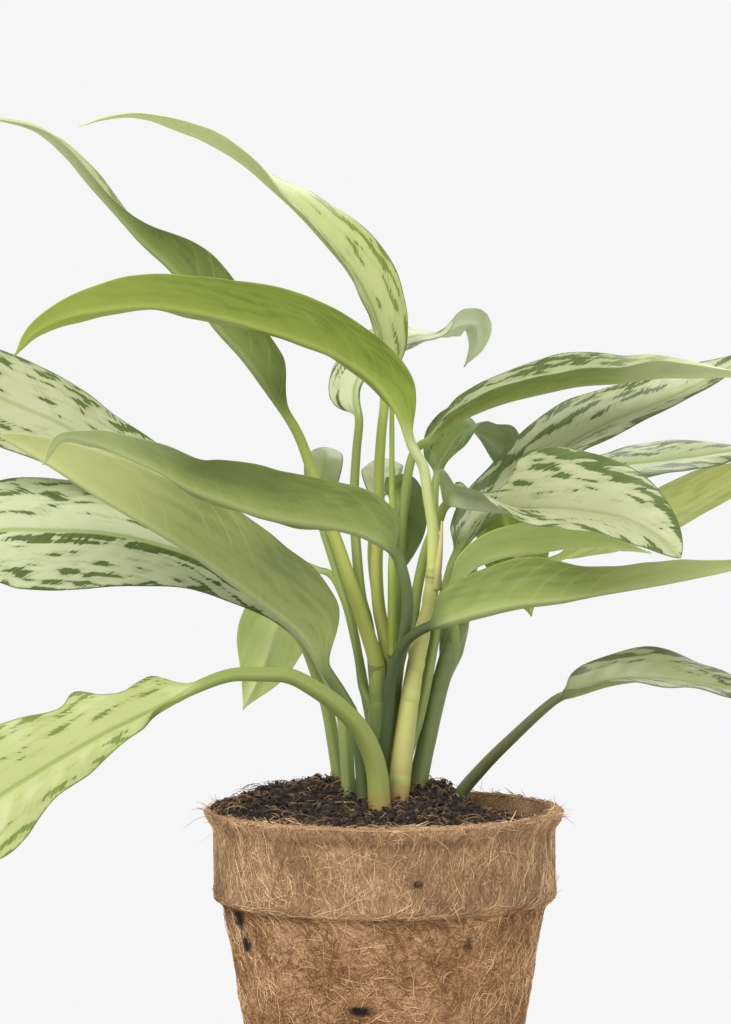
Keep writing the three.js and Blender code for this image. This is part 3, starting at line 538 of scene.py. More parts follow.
bpy.ops.object.select_all(action="DESELECT")
bpy.ops.mesh.primitive_ico_sphere_add(subdivisions=1, radius=1)
crumb = bpy.context.object
crumb_corners = [vertex.co.copy() for vertex in crumb.data.vertices]
crumb_faces = [tuple(face.vertices) for face in crumb.data.polygons]
bpy.data.objects.remove(crumb)
rng = random.Random(23)
corners, faces, shades = [], [], []
for number in range(CRUMBS + SPILLED_CRUMBS):
    turn, share = rng.uniform(0, 2 * math.pi), math.sqrt(rng.random())
    size = 0.3 + 1.4 * rng.random() ** 4
    centre = soil_point(turn, share * 0.985) + Vector((0, 0, size * rng.uniform(0, 0.9)))
    if number >= CRUMBS:  # these lie on the lip, most of them at the left
        turn = rng.gauss(math.pi, 0.75)
        radius = rng.uniform(61, 68.5)
        size *= 0.8
        on_lip = between(LIP_SLOPE, radius) + size * 0.4
        centre = Vector((radius * math.cos(turn), radius * math.sin(turn), on_lip))
    if any(math.hypot(centre.x - x, centre.y - y) < girth + size * 0.4 for x, y, girth in STEM_FEET):
        continue
    angle = rng.uniform(0, 7)
    spin = Matrix.Rotation(angle, 3, Vector((rng.gauss(0, 1), rng.gauss(0, 1), rng.gauss(0, 1))))
    stretch = Vector((rng.uniform(0.6, 1.5), rng.uniform(0.6, 1.2), rng.uniform(0.5, 1)))
    start = len(corners)
    for corner in crumb_corners:
        corners.append((centre + spin @ (corner * stretch * size * rng.uniform(0.75, 1.2))) * MM)
    faces += [tuple(start + corner for corner in face) for face in crumb_faces]
    shades += [rng.random()] * len(crumb_corners)
mesh = bpy.data.meshes.new("soil_crumbs")
mesh.from_pydata(corners, [], faces)
mesh.attributes.new("shade", "FLOAT", "POINT").data.foreach_set("value", shades)
soil_crumbs = bpy.data.objects.new("soil_crumbs", mesh)
bpy.context.scene.collection.objects.link(soil_crumbs)
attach(soil_crumbs, "root")

threads = []
for _ in range(SOIL_ROOTS):
    start = soil_point(rng.uniform(0, 2 * math.pi), 0.97 * math.sqrt(rng.random()))
    heading = rng.uniform(0, 2 * math.pi)
    points = []
    length = rng.uniform(3, 11)
    rise = rng.uniform(0.3, 2.6)
    for step in range(6):
        lift = 0.3 + rise * math.sin(math.pi * step / 5)
        points.append(start + Vector((0, 0, lift)))
        start = start + Vector((math.cos(heading), math.sin(heading), 0)) * length / 5
        heading += rng.gauss(0, 0.5)
    threads.append((points, rng.uniform(0.07, 0.19), rng.random(), Vector((0, 0, 1))))
soil_roots = join_threads("soil_roots", threads)

# Moist potting mix: near black brown crumbs, each its own shade, with a dull damp gleam.
mix_soil, tree = new_material("moist potting mix")
shade = add_node(tree, "Attribute", {}, attribute_name="shade")
coordinates = add_node(tree, "TexCoord", {})
grain = add_node(tree, "TexNoise", {"Vector": (coordinates, "Object"), "Scale": 420, "Detail": 5})
tone = add_node(tree, "Math", {0: (shade, "Fac"), 1: 0.5, 2: grain}, operation="MULTIPLY_ADD")
colour = add_node(tree, "ValToRGB", {0: tone})
colour.color_ramp.elements[0].position = 0.42
colour.color_ramp.elements[0].color = linear(0x0C0906)
colour.color_ramp.elements[1].position = 1
colour.color_ramp.elements[1].color = linear(0x6C523A)
colour.color_ramp.elements.new(0.86).color = linear(0x39291B)
bump = add_node(tree, "Bump", {"Height": grain, "Strength": 0.8, "Distance": 0.5 * MM})
shader = add_node(tree, "BsdfPrincipled", {"Base Color": colour, "Roughness": 0.85, "Normal": bump})
add_node(tree, "OutputMaterial", {"Surface": shader})
for piece in (soil_bed, soil_crumbs):
    piece.data.materials.append(mix_soil)

# Roots and loose coir in the mix: thin dull threads, straw to dark brown.
root_thread, tree = new_material("dry roots and fibre")
shade = add_node(tree, "Attribute", {}, attribute_name="shade")
colour = add_node(tree, "ValToRGB", {0: (shade, "Fac")})
colour.color_ramp.elements[0].color = linear(0x241A13)
colour.color_ramp.elements[1].color = linear(0xB3946A)
colour.color_ramp.elements.new(0.6).color = linear(0x523B27)
shader = add_node(tree, "BsdfPrincipled", {"Base Color": colour, "Roughness": 0.8})
add_node(tree, "OutputMaterial", {"Surface": shader})
soil_roots.data.materials.append(root_thread)

# ---- canes ----
# Upright fleshy stems that the leaves grew from: smooth green round rods, each ringed by the slanting
# scars of fallen leaves. A dry papery sheath still stands at the top of the front one.
TOWARDS_VIEWER = Vector((0, -1, 0))
CANE_SPACING = 1
AROUND_CANE = 32
CANES = [
    {
        "name": "cane_left", "radius": (3.2, 3.0), "foot": 0x6C7D3E, "top": 0x7A8746, "scars": (0.99,),
        "path": [(0, 7, 112), (-2, 7, 130), (-3, 7, 158), (-3, 8, 184)],
    },
    {
        "name": "cane_back", "radius": (3.8, 3.3), "foot": 0x66743C, "top": 0x8C9A4C, "scars": (0.98,),
        "path": [(5, 16, 112), (4, 15, 129), (3, 15, 157), (2, 14, 187)],
    },
    {
        "name": "cane_front", "radius": (5, 2.6), "foot": 0xC9BF76, "top": 0xB4B868, "scars": (0.97,),
        "path": [
            (4, -1, 112), (5, -1, 130), (7, -1, 148), (10, -1, 171), (14, -1, 194), (18, 0, 210),
            (19, 0, 223),
        ],
    },
    {
        "name": "cane_right", "radius": (3.9, 3.5), "foot": 0x66703C, "top": 0x6C7A44, "scars": (),
        "path": [(9, 9, 112), (12, 9, 130), (16, 10, 150), (21, 11, 172), (26, 11, 189), (30, 11, 200)],
    },
]
DRY_SHEATH = {"radius": (2.1, 0.4), "path": [(20, -1, 214), (21.6, -2, 226), (22.6, -2, 241)]}


def smooth_line(points, steps=16):
    """Closely spaced (point, share) pairs on a centripetal Catmull-Rom curve through the points."""
    points = [Vector(point) for point in points]
    controls = [2 * points[0] - points[1], *points, 2 * points[-1] - points[-2]]
    line = []
    for segment in range(len(points) - 1):
        p0, p1, p2, p3 = controls[segment : segment + 4]
        t1 = (p1 - p0).length ** 0.5
        t2 = t1 + (p2 - p1).length ** 0.5
        t3 = t2 + (p3 - p2).length ** 0.5
        for step in range(steps):
            t = t1 + (t2 - t1) * step / steps
            a1 = p0 + (p1 - p0) * (t / t1)
            a2 = p1 + (p2 - p1) * ((t - t1) / (t2 - t1))
            a3 = p2 + (p3 - p2) * ((t - t2) / (t3 - t2))
            b1 = a1 + (a2 - a1) * (t / t2)
            b2 = a2 + (a3 - a2) * ((t - t1) / (t3 - t1))
            point = b1 + (b2 - b1) * ((t - t1) / (t2 - t1))
            line.append((point, (segment + step / steps) / (len(points) - 1)))
    line.append((points[-1], 1))
    return line


def stations(line, start, end, spacing):
    """Even places along a line between two of its shares: (share of the way, line share, point, along)."""
    lengths = [0]
    for (first, _), (second, _) in zip(line, line[1:]):
        lengths.append(lengths[-1] + (second - first).length)

    def at(length):
        low = min(max(bisect_right(lengths, length) - 1, 0), len(line) - 2)
        part = (length - lengths[low]) / (lengths[low + 1] - lengths[low])
        (point, share), (next_point, next_share) = line[low], line[low + 1]
        return point + (next_point - point) * part, share + (next_share - share) * part

    shares = [share for _, share in line]
    ends = []
    for share in (start, end):
        low = min(max(bisect_right(shares, share) - 1, 0), len(line) - 2)
        part = (share - shares[low]) / (shares[low + 1] - shares[low])
        ends.append(lengths[low] + (lengths[low + 1] - lengths[low]) * part)
    count = max(2, round((ends[1] - ends[0]) / spacing))
    made = []
    for step in range(count + 1):
        length = ends[0] + (ends[1] - ends[0]) * step / count
        point, share = at(length)
        along = (at(length + 0.7)[0] - at(length - 0.7)[0]).normalized()
        made.append((step / count, share, point, along, length - ends[0]))
    return made


def stem_rows(path, radius, scars=(), lap=0.0):
    """Rings round a stem, closed at its ends, with marks: across, share of the way, mm from a scar."""
    steps = stations(smooth_line(path), 0, 1, CANE_SPACING)
    length = steps[-1][4]
    rows, marks = [], []
    for share, _, point, along, run in steps:
        facing = (TOWARDS_VIEWER - along * along.dot(TOWARDS_VIEWER)).normalized()
        across = along.cross(facing)
        section, spots = [], []
        for place in range(AROUND_CANE):
            angle = 2 * math.pi * place / AROUND_CANE
            slanted = run + 0.9 * math.sin(angle)
            from_scar = min([abs(slanted - scar * length) for scar in scars], default=9)
            girth = radius[0] + (radius[1] - radius[0]) * share
            girth *= 1 + 0.08 * math.exp(-((from_scar / 0.8) ** 2)) + 0.03 * noise.noise(point / 9)
            # a rolled piece steps out where its margin lies over the roll, turning round on the way up
            girth *= 1 + lap * ((angle / (2 * math.pi) + run / 70) % 1 - 0.5)
            section.append(point + across * (girth * math.cos(angle)) + facing * (girth * math.sin(angle)))
            spots.append(Vector((math.cos(angle), share, from_scar)))
        rows.append(section)
        marks.append(spots)
    ends = [sum(row, Vector()) / AROUND_CANE for row in (rows[0], rows[-1])]
    rows = [[ends[0]] * AROUND_CANE, *rows, [ends[1]] * AROUND_CANE]
    return rows, [marks[0], *marks, marks[-1]]


def stem_skin(name, foot, top, soiled=0.0):
    """Fleshy green stem: smooth, slightly glossy, streaked lengthwise and brown on its scars."""
    material, tree = new_material("fleshy stem of " + name)
    mark = add_node(tree, "Attribute", {}, attribute_name="place")
    place = add_node(tree, "SeparateXYZ", {0: (mark, "Vector")})
    coordinates = add_node(tree, "TexCoord", {})
    stretched = add_node(
        tree, "VectorMath", {0: (coordinates, "Object"), 1: (900, 900, 50)}, operation="MULTIPLY"
    )
    streaks = add_node(tree, "TexNoise", {"Vector": stretched, "Scale": 1, "Detail": 4})
    height = add_node(tree, "Math", {0: streaks, 1: 0.9, 2: (place, "Y")}, operation="MULTIPLY_ADD")
    height = add_node(tree, "Math", {0: height, 1: 0.45}, operation="SUBTRACT", use_clamp=True)
    colour = add_node(tree, "Mix", {0: height, 6: linear(foot), 7: linear(top)}, data_type="RGBA")
    # it has greened along one side, and the foot is blanched and browned by the soil
    green = add_node(tree, "MapRange", {0: (place, "X"), 1: -0.2, 2: 1, 4: 0.3})
    colour = add_node(
        tree, "Mix", {0: green, 6: (colour, "Result"), 7: linear(0x7F8C42)}, data_type="RGBA"
    )
    browned = add_node(tree, "MapRange", {0: (place, "Y"), 1: 0.17, 2: 0.3, 3: soiled, 4: 0})
    browned = add_node(tree, "Math", {0: streaks, 1: browned}, operation="MULTIPLY")
    colour = add_node(
        tree, "Mix", {0: browned, 6: (colour, "Result"), 7: linear(0xA06A40)}, data_type="RGBA"
    )
    scar = add_node(tree, "MapRange", {0: (place, "Z"), 1: 0.2, 2: 0.7, 3: 0.75, 4: 0})
    colour = add_node(
        tree, "Mix", {0: scar, 6: (colour, "Result"), 7: linear(0x8A6A45)}, data_type="RGBA"
    )
    bump = add_node(tree, "Bump", {"Height": streaks, "Strength": 0.25, "Distance": 0.2 * MM})
    shader = add_node(
        tree, "BsdfPrincipled", {"Base Color": (colour, "Result"), "Roughness": 0.45, "Normal": bump}
    )
    add_node(tree, "OutputMaterial", {"Surface": shader})
    return material


for cane in CANES:
    rows, marks = stem_rows(cane["path"], cane["radius"], cane["scars"])
    piece = skin_over(cane["name"].replace("cane_", "") + "_cane", rows, {"place": marks})
    piece.data.materials.append(stem_skin(piece.name, cane["foot"], cane["top"], 1.2))
    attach(piece, "root")
    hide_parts(cane["name"])

rows, marks = stem_rows(DRY_SHEATH["path"], DRY_SHEATH["radius"], lap=0.4)
dry_sheath = skin_over("dry_sheath", rows, {"place": marks})
dry_sheath.data.materials.append(stem_skin("dry_sheath", 0xB9B070, 0xD3C79A))
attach(dry_sheath, "root")

# ---- rolled leaf ----
# The newest leaf comes out of the back cane still rolled into a spear, bright and soft. It is one blade
# wound round itself, so its outer margin shows as a step that turns round it on the way up.
ROLLED_LEAF = {
    "radius": (1.8, 0.9), "path": [(3, 10, 187), (3, 8, 209), (3, 6, 233), (3, 7, 257), (3, 10, 288)],
}
rows, marks = stem_rows(ROLLED_LEAF["path"], ROLLED_LEAF["radius"], lap=0.24)
rolled_leaf = skin_over("rolled_leaf", rows, {"place": marks})
rolled_leaf.data.materials.append(stem_skin("rolled_leaf", 0xA3B44C, 0x93A64A))
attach(rolled_leaf, "root")
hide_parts("leaf_rolled")

# ---- leaves ----
# Each leaf is one growth: a fleshy stalk, channelled on its upper side, that flattens into a thin blade
# with a sunken midrib above and a raised one below. Its foot clasps the cane, or stands in the soil.
UPWARDS = Vector((0, 0, 1))
STALK_SPACING = 3
BLADE_SPACING = 1.7
NECK = 0.13  # share of the blade over which the round stalk flattens
BLADE_THICKNESS = 0.5
STALK_CHANNEL = 0.16  # depth of the groove along a stalk, as a share of its radius
VEIN_SPACING = 11
VEIN_SLANT = 0.7  # how far a side vein runs along the leaf for each millimetre out from the midrib
VEIN_BEND = 0.035  # and how much more with the square of that, as it turns to the tip
SHEATH_LENGTH = 17  # down the cane, below the foot of the stalk
HALF_REACH = (0.02, 0.05, 0.09, 0.14, 0.21, 0.3, 0.4, 0.5, 0.6, 0.7, 0.8, 0.9, 0.97, 1)
ACROSS = [*reversed(HALF_REACH), 0, *(-reach for reach in HALF_REACH)]  # right margin to left margin
UPPER_SIDES = {  # tones: pale areas, where they warm, the midrib and the green blotches
    "sage": {"pale": 0xC4C898, "pale_warm": 0xB4BA7C, "rib": 0xAEB870, "dark": 0x647434},
    "lime": {"pale": 0xC0C68A, "pale_warm": 0xB0BA6C, "rib": 0x9CAA5A, "dark": 0x768838},
    "cream": {"pale": 0xD4DAB4, "pale_warm": 0xC2CA96, "rib": 0xA8B874, "dark": 0x5E6E36},
    "dusty": {"pale": 0xC8CAA4, "pale_warm": 0xB8BE8A, "rib": 0xB0B882, "dark": 0x5E7034},
    "grey": {"pale": 0xAEB48C, "pale_warm": 0xA0AA70, "rib": 0x9CA860, "dark": 0x566630},
    # deep is painted shade: a dark green face with little pale ground, for back leaves in the shade of
    # those in front
    "deep": {"pale": 0x7C8E48, "pale_warm": 0x748640, "rib": 0x8E9C58, "dark": 0x586C32},
    "dull": {"pale": 0xA0A480, "pale_warm": 0x989E68, "rib": 0x929A58, "dark": 0x5C6440},
}
UNDERSIDES = {
    "olive": {"under": 0x9AA75A, "under_dark": 0x86964C, "under_vein": 0xB0B97A},
    "deep": {"under": 0x7C8C44, "under_dark": 0x687A38, "under_vein": 0xA2AA6C},
    "fresh": {"under": 0xB4C078, "under_dark": 0xA4B068, "under_vein": 0xC0C888},
    "lime": {"under": 0xA8B852, "under_dark": 0x8CA23E, "under_vein": 0xC6D06C},
    "wan": {"under": 0xC8D078, "under_dark": 0xB0BC60, "under_vein": 0xD2D886},
    "grey": {"under": 0xBAC298, "under_dark": 0xA6B084, "under_vein": 0xC6CEA6},
    "shade": {"under": 0x9AA96C, "under_dark": 0x869660, "under_vein": 0xA4B07C},
    "dun": {"under": 0x98A25E, "under_dark": 0x869250, "under_vein": 0xAEB67E},
    "white": {"under": 0xE2EAD0, "under_dark": 0xC8D8A4, "under_vein": 0xE8EED8},
    # dark is painted shade, for a back leaf in the shade of those in front
    "dark": {"under": 0x6C7A40, "under_dark": 0x5C6A36, "under_vein": 0x7C8A50},
    # glow is painted light: a near white yellow-green that stands in for light shining through the leaf
    "glow": {"under": 0xE6F4A0, "under_dark": 0xD8EA8C, "under_vein": 0xECF6AE},
}
STALK_TONES = {
    "green": {"foot": 0x808E4C, "neck": 0x98A658},
    "yellow": {"foot": 0xACB058, "neck": 0x9CA84E},
    "bright": {"foot": 0xCCD47A, "neck": 0xC0C88C},
    # dark and shadow are painted shade: deep greens for stalks that stand in the shade of the leaves
    "dark": {"foot": 0x4E5C32, "neck": 0x62703E},
    "shadow": {"foot": 0x3A4626, "neck": 0x48562C},
    "dull": {"foot": 0x565A34, "neck": 0x646840},
    "brown": {"foot": 0x929A4E, "neck": 0x82904A},
}
# A leaf has the points of its stalk and of its midrib, and its stalk's radius at the foot and at the neck.
# Along the rib the blade rolls about it, its halves fold up from it, both in degrees, and each half can be
# trimmed to a share of its width. The outline is half the blade's width, the share of its length where it
# is widest, and how sharply it swells before that and narrows after it. A wave is depth, count and start.
# A look names the tones and how much is blotched. Some leaves also have blotches that lean to one half or
# stand in a band or at the foot, a tip of another tone from a share of the length on, a browned foot or
# painted shade, a deeper green, on one half of the underside where it turns from the light, or let less
# light through.
LEAVES = [
    {
        "name": "leaf_top_left", "on": "cane_left", "radius": (3.1, 2),
        "look": {
            "face": "sage", "back": "deep", "stalk": "yellow", "blotch": 0.4, "tip": (0xC8D09A, 0.5),
        },
        "stalk": [
            (-3, 8, 184), (-5, 8, 191), (-11, 10, 209), (-17, 12, 227), (-22, 14, 241), (-28, 16, 258),
            (-33, 18, 272),
        ],
        "rib": [
            (-36, 18, 278), (-46, 19, 293), (-55, 20, 305), (-66, 21, 317), (-75, 22, 329),
            (-84, 23, 340), (-96, 24, 351), (-106, 24, 362), (-116, 23, 373), (-126, 20, 385),
            (-137, 16, 394), (-151, 12, 398), (-166, 6, 400),
        ],
        "roll": [120, 120, 120, 120, 120, 118, 108, 92, 80, 75, 74, 76, 80],
        "fold": [24, 30, 30, 30, 30, 28, 28, 32, 38, 42, 44, 42, 36],
        "left": [1, 1, 1, 1, 0.95, 0.8, 0.55, 0.45, 0.45, 0.5, 0.6, 0.7, 0.8],
        "right": [1, 1, 1, 1, 0.95, 0.8, 0.55, 0.45, 0.45, 0.5, 0.6, 0.7, 0.8],
        "half": 20, "peak": 0.38, "base": 0.6, "tip": 1.5, "wave": (0.8, 3, 0),
    },
    {
        "name": "leaf_top_centre", "on": "cane_back", "radius": (2.8, 1.9),
        "look": {
            "face": "lime", "back": "fresh", "stalk": "yellow", "blotch": 0.55, "tip": (0xDCE4A8, 0.36),
        },
        "stalk": [
            (1, 14, 187), (1, 14, 191), (-2, 15, 205), (-3, 16, 223), (-2, 18, 240), (-2, 20, 260),
            (-1, 22, 276),
        ],
        "rib": [
            (0, 24, 285), (0, 25, 300), (-2, 26, 314), (-6, 27, 326), (-13, 28, 339), (-22, 29, 350),
            (-33, 30, 362), (-45, 29, 373), (-57, 28, 383), (-71, 26, 391), (-84, 23, 397),
            (-96, 20, 400), (-109, 17, 399), (-120, 14, 396),
        ],
        "roll": [60, 60, 58, 57, 58, 62, 70, 86, 98, 104, 104, 104, 104, 104],
        "fold": [20, 26, 28, 28, 28, 26, 20, 12, 8, 8, 8, 8, 8, 8],
        "half": 17.5, "peak": 0.32, "base": 0.6, "tip": 1.1, "wave": (0.8, 3, 1),
    },
    {
        "name": "leaf_long_arch", "on": "cane_front", "radius": (2.4, 2),
        "look": {
            "face": "sage", "back": "lime", "stalk": "bright", "blotch": 0.4, "tip": (0xB6C45C, 0.5),
        },
        "stalk": [(19, 0, 223), (19, -2, 238), (17, -4, 251), (15, -6, 263)],
        "rib": [
            (11, -8, 270), (6, -10, 284), (-3, -12, 296), (-17, -16, 306), (-34, -20, 313),
            (-52, -24, 318.5), (-71, -27, 323), (-90, -29, 325.5), (-108, -30, 324), (-123, -30, 321),
            (-135, -28, 315), (-143, -26, 306),
        ],
        "roll": [122, 118, 116, 114, 114, 114, 114, 114, 116, 122, 130, 140],
        "fold": [10, 14, 16, 16, 16, 16, 16, 16, 16, 14, 12, 10],
        "half": 25, "peak": 0.4, "base": 0.6, "tip": 1, "wave": (0.7, 3, 0),
    },
    {
        "name": "leaf_back_top_right", "on": "cane_left", "radius": (2.3, 1.7),
        "look": {
            "face": "cream", "back": "white", "stalk": "green", "blotch": 0.3, "tip": (0xD4DCB2, 0.6),
        },
        "stalk": [
            (-4, 13, 179), (-5, 15, 190), (-7, 16, 202), (-9, 17, 209), (-11, 20, 228), (-12, 24, 248),
            (-11, 28, 268),
        ],
        "rib": [
            (-10, 30, 280), (-12, 38, 290), (-6, 52, 303), (7, 62, 311), (22, 72, 314), (32, 78, 318),
            (38, 83, 317), (38, 86, 309), (33, 87, 300),
        ],
        "roll": [40, 50, 60, 66, 90, 125, 150, 160, 160],
        "fold": [15, 15, 12, 10, 5, 5, 5, 5, 5],
        "half": 16, "peak": 0.42, "base": 0.5, "tip": 1.1, "wave": (0.5, 2, 0),
    },
    {
        "name": "leaf_right_high", "on": "cane_back", "radius": (2.3, 1.8),
        "look": {
            "face": "grey", "back": "olive", "stalk": "green", "blotch": 1.1, "tip": (0xD0D6A0, 0.5),
        },
        "stalk": [
            (5, 18, 184), (5, 18, 193), (5, 16, 212), (6, 12, 231), (8, 8, 249), (10, 6, 263),
            (13, 5, 270),
        ],
        "rib": [
            (17, 3, 272), (22, 2, 277), (30, 0, 282), (45, -4, 288), (61, -8, 292), (76, -11, 295),
            (91, -13, 296), (107, -15, 298), (122, -16, 298), (136, -17, 298), (151, -17, 296),
        ],
        "roll": [75, 77, 78, 79, 78, 78, 80, 84, 88, 92, 94],
        "fold": [33],
        "half": 17, "peak": 0.42, "base": 0.6, "tip": 1.1, "wave": (0.3, 3, 0),
    },
    {
        "name": "leaf_right_upper", "on": "cane_front", "radius": (2.3, 1.9),
        "look": {"face": "dusty", "back": "olive", "stalk": "green", "blotch": 0.9, "foot_blotch": 0.12},
        "stalk": [(10, 3, 152), (13, 5, 161), (16, 6, 174), (19, 8, 190), (22, 10, 205), (25, 12, 217)],
        "rib": [
            (28, 14, 226), (34, 16, 235), (42, 18, 245), (54, 18, 256), (69, 17, 268), (89, 15, 279),
            (109, 12, 287), (124, 10, 294), (138, 8, 302), (157, 4, 313),
        ],
        "roll": [50, 52, 53, 53, 53, 53, 53, 55, 58, 60],
        "fold": [22],
        "half": 17, "peak": 0.4, "base": 0.45, "tip": 1.1, "wave": (0.8, 3, 0), "neck": 0.06,
    },
    {
        "name": "leaf_right_back_upper", "on": "cane_right", "radius": (2.2, 1.7),
        "look": {"face": "grey", "back": "olive", "stalk": "green", "blotch": 1.0, "foot_blotch": 0.08},
        "stalk": [(31, 13, 198), (33, 26, 210), (38, 46, 226), (49, 56, 241)],
        "rib": [
            (63, 60, 249), (80, 62, 255), (96, 63, 260), (112, 66, 262), (129, 69, 264), (143, 71, 266),
            (161, 72, 267),
        ],
        "roll": [66],
        "fold": [4],
        "half": 16, "peak": 0.42, "base": 0.75, "tip": 1.1, "wave": (1, 2, 0),
    },
    {
        "name": "leaf_right_back_lower", "on": "cane_right", "radius": (2.2, 1.7),
        "look": {"face": "sage", "back": "wan", "stalk": "green", "blotch": 0.7},
        "stalk": [(29, 15, 188), (31, 22, 195), (34, 38, 204), (45, 56, 212), (55, 66, 219)],
        "rib": [
            (67, 72, 221), (84, 78, 227), (105, 84, 235), (126, 88, 244), (143, 91, 253), (165, 93, 264),
        ],
        "roll": [120, 120, 120, 122, 124, 124],
        "fold": [5],
        "half": 20, "peak": 0.55, "base": 0.75, "tip": 1.1, "wave": (0.8, 2, 0),
    },
    {
        "name": "leaf_front_variegated", "on": "cane_front", "radius": (2.3, 2),
        "look": {"face": "dusty", "back": "grey", "stalk": "green", "blotch": 0.75, "tilt": -0.03},
        "stalk": [(12, 3, 185), (11, 8, 196), (12, 11, 207), (14, 11, 219), (17, 9, 231), (21, 7, 240)],
        "rib": [
            (24, 4, 247), (33, -4, 247), (49, -16, 246), (64, -28, 247), (79, -40, 246), (91, -50, 244),
            (103, -57, 238), (112, -62, 230),
        ],
        "roll": [70, 62, 50, 38, 36, 34, 30, 25],
        "fold": [75, 68, 60, 38, 36, 32, 26, 20],
        "left": [1, 0.8, 0.42, 0.34, 0.6, 0.89, 1, 1, 1, 1, 1, 1, 1, 1, 1],
        "right": [1.8, 1.6, 0.95, 0.8, 0.85, 0.75, 0.75, 0.8, 0.9, 1, 1, 1, 1, 1, 1],
        "half": 24, "peak": 0.5, "base": 0.42, "tip": 0.7, "wave": (0.9, 3, 0), "neck": 0.05,
    },
    {
        "name": "leaf_back_centre_right", "on": "cane_front", "radius": (2, 1.7),
        "look": {"face": "deep", "back": "shade", "stalk": "green", "blotch": 0.8},
        "stalk": [(15, 4, 197), (17, 12, 207), (19, 20, 221), (20, 30, 232), (20, 38, 244)],
        "rib": [(21, 43, 256), (26, 50, 267), (34, 58, 275), (44, 66, 271), (51, 72, 261), (56, 76, 249)],
        "roll": [50, 50, 70, 120, 140, 150],
        "fold": [18, 20, 25, 15, 8, 5],
        "half": 15, "peak": 0.42, "base": 0.75, "tip": 1.1, "wave": (0.5, 2, 0),
    },
    {
        "name": "leaf_back_hanging_right", "on": "cane_right", "radius": (2.2, 1.6),
        "look": {"face": "lime", "back": "lime", "stalk": "green", "blotch": 0.5},
        "stalk": [(24, 14, 182), (24, 20, 193), (27, 26, 214), (31, 30, 235), (36, 31, 247)],
        "rib": [(41, 32, 251), (46, 33, 245), (50, 33, 233), (54, 34, 219), (59, 35, 201)],
        "roll": [120, 140, 160, 165, 165],
        "fold": [10, 10, 8, 8, 8],
        "half": 15, "peak": 0.4, "base": 0.75, "tip": 1.1, "wave": (0.5, 2, 0),
    },
    {
        "name": "leaf_right_middle", "on": "cane_right", "radius": (2.2, 1.9),
        "look": {"face": "lime", "back": "glow", "stalk": "green", "blotch": 0.5, "thin": 0.1},
        "stalk": [(28, 10, 190), (27.5, 7.5, 198), (26, 3, 206)],
        "rib": [
            (25, -2, 214), (33, -4, 223), (45, -5, 228), (61, -6, 230), (76, -8, 232), (92, -10, 231),
            (104, -12, 229),
        ],
        "roll": [110, 112, 114, 114, 114, 112, 110],
        "fold": [12, 16, 20, 20, 18, 14, 10],
        "half": 17, "peak": 0.42, "base": 0.75, "tip": 1.1, "wave": (0.5, 2, 0),
    },
    {
        "name": "leaf_right_front_low", "on": "soil", "radius": (2.6, 2),
        "look": {
            "face": "sage", "back": "olive", "stalk": "shadow", "blotch": 0.5, "tip": (0xC2CC88, 0.45),
        },
        "stalk": [
            (-3.5, -1, 114), (-3.2, -1, 131), (-0.7, -3, 149), (1.4, -5, 167), (2.6, -7.5, 180),
            (5.5, -11, 190), (10.5, -16, 197),
        ],
        "rib": [
            (17, -20, 201), (24, -22, 203), (35, -24, 206), (52, -27, 210), (68, -30, 212),
            (83, -33, 215), (106, -37, 219), (121, -39, 222), (134, -41, 225), (155, -43, 231),
        ],
        "roll": [120, 128, 134, 130, 116, 100, 100, 106, 110, 112],
        "fold": [30, 34, 36, 36, 34, 32, 30, 28, 26, 24],
        "half": 19, "peak": 0.32, "base": 0.4, "tip": 1.1, "wave": (0.6, 3, 0), "neck": 0.05,
    },
    {
        "name": "leaf_right_low", "on": "soil", "radius": (3, 1.8),
        "look": {"face": "dull", "back": "olive", "stalk": "dull", "blotch": 0.9},
        "stalk": [(23, 14, 116), (29, 9, 131), (39, 3, 144), (51, -5, 157), (63, -13, 169)],
        "rib": [
            (68, -16, 173), (76, -20, 176), (88, -26, 180), (102, -32, 182), (117, -38, 181),
            (134, -44, 178), (150, -50, 173),
        ],
        "roll": [70, 68, 66, 66, 66, 66, 66],
        "fold": [42, 38, 30, 22, 14, 8, 5],
        "half": 14.5, "peak": 0.42, "base": 0.55, "tip": 1.1, "wave": (0.8, 3, 0), "neck": 0.07,
    },
    {
        "name": "leaf_left_lowest", "on": "soil", "radius": (4.8, 2.4),
        "look": {"face": "lime", "back": "olive", "stalk": "brown", "blotch": 0.45, "browned": 1.4},
        "stalk": [
            (-1, -14, 114), (-2, -13, 131), (-3.5, -14, 146), (-8.5, -18, 159), (-17, -24, 169.5),
            (-27, -30, 177.5), (-37, -35, 183), (-48, -40, 184), (-59, -44, 184),
        ],
        "rib": [
            (-69, -48, 181), (-81, -52, 175), (-94, -57, 169), (-107, -62, 163), (-118, -66, 157),
            (-132, -71, 149), (-145, -76, 141), (-159, -80, 130), (-173, -82, 117),
        ],
        "roll": [40, 36, 30, 26, 24, 22, 20, 18, 18],
        "fold": [12, 8, 4, 0, 0, 0, 0, 0, 0],
        "left": [
            0.04, 0.04, 0.04, 0.05, 0.33, 0.39, 0.42, 0.45, 0.49, 0.5, 0.52, 0.6, 0.71, 0.8, 0.9, 1, 1,
        ],
        "right": [
            1.2, 1.3, 1.35, 1.05, 0.76, 0.8, 1.08, 0.88, 0.84, 0.9, 0.98, 1.06, 1.1, 1.1, 1.05, 1, 1,
        ],
        "half": 26, "peak": 0.75, "base": 0.65, "tip": 1.1, "wave": (1.2, 4, 0),
    },
    {
        "name": "leaf_left_front", "on": "cane_back", "radius": (2.8, 2.2),
        "look": {
            "face": "sage", "back": "olive", "stalk": "dark", "blotch": 0.5, "tip": (0xC6D092, 0.6),
            # painted shade: the lower half of its underside is a deeper green, where it turns from the
            # light
            "shaded_half_below": (-1, 0.7),
        },
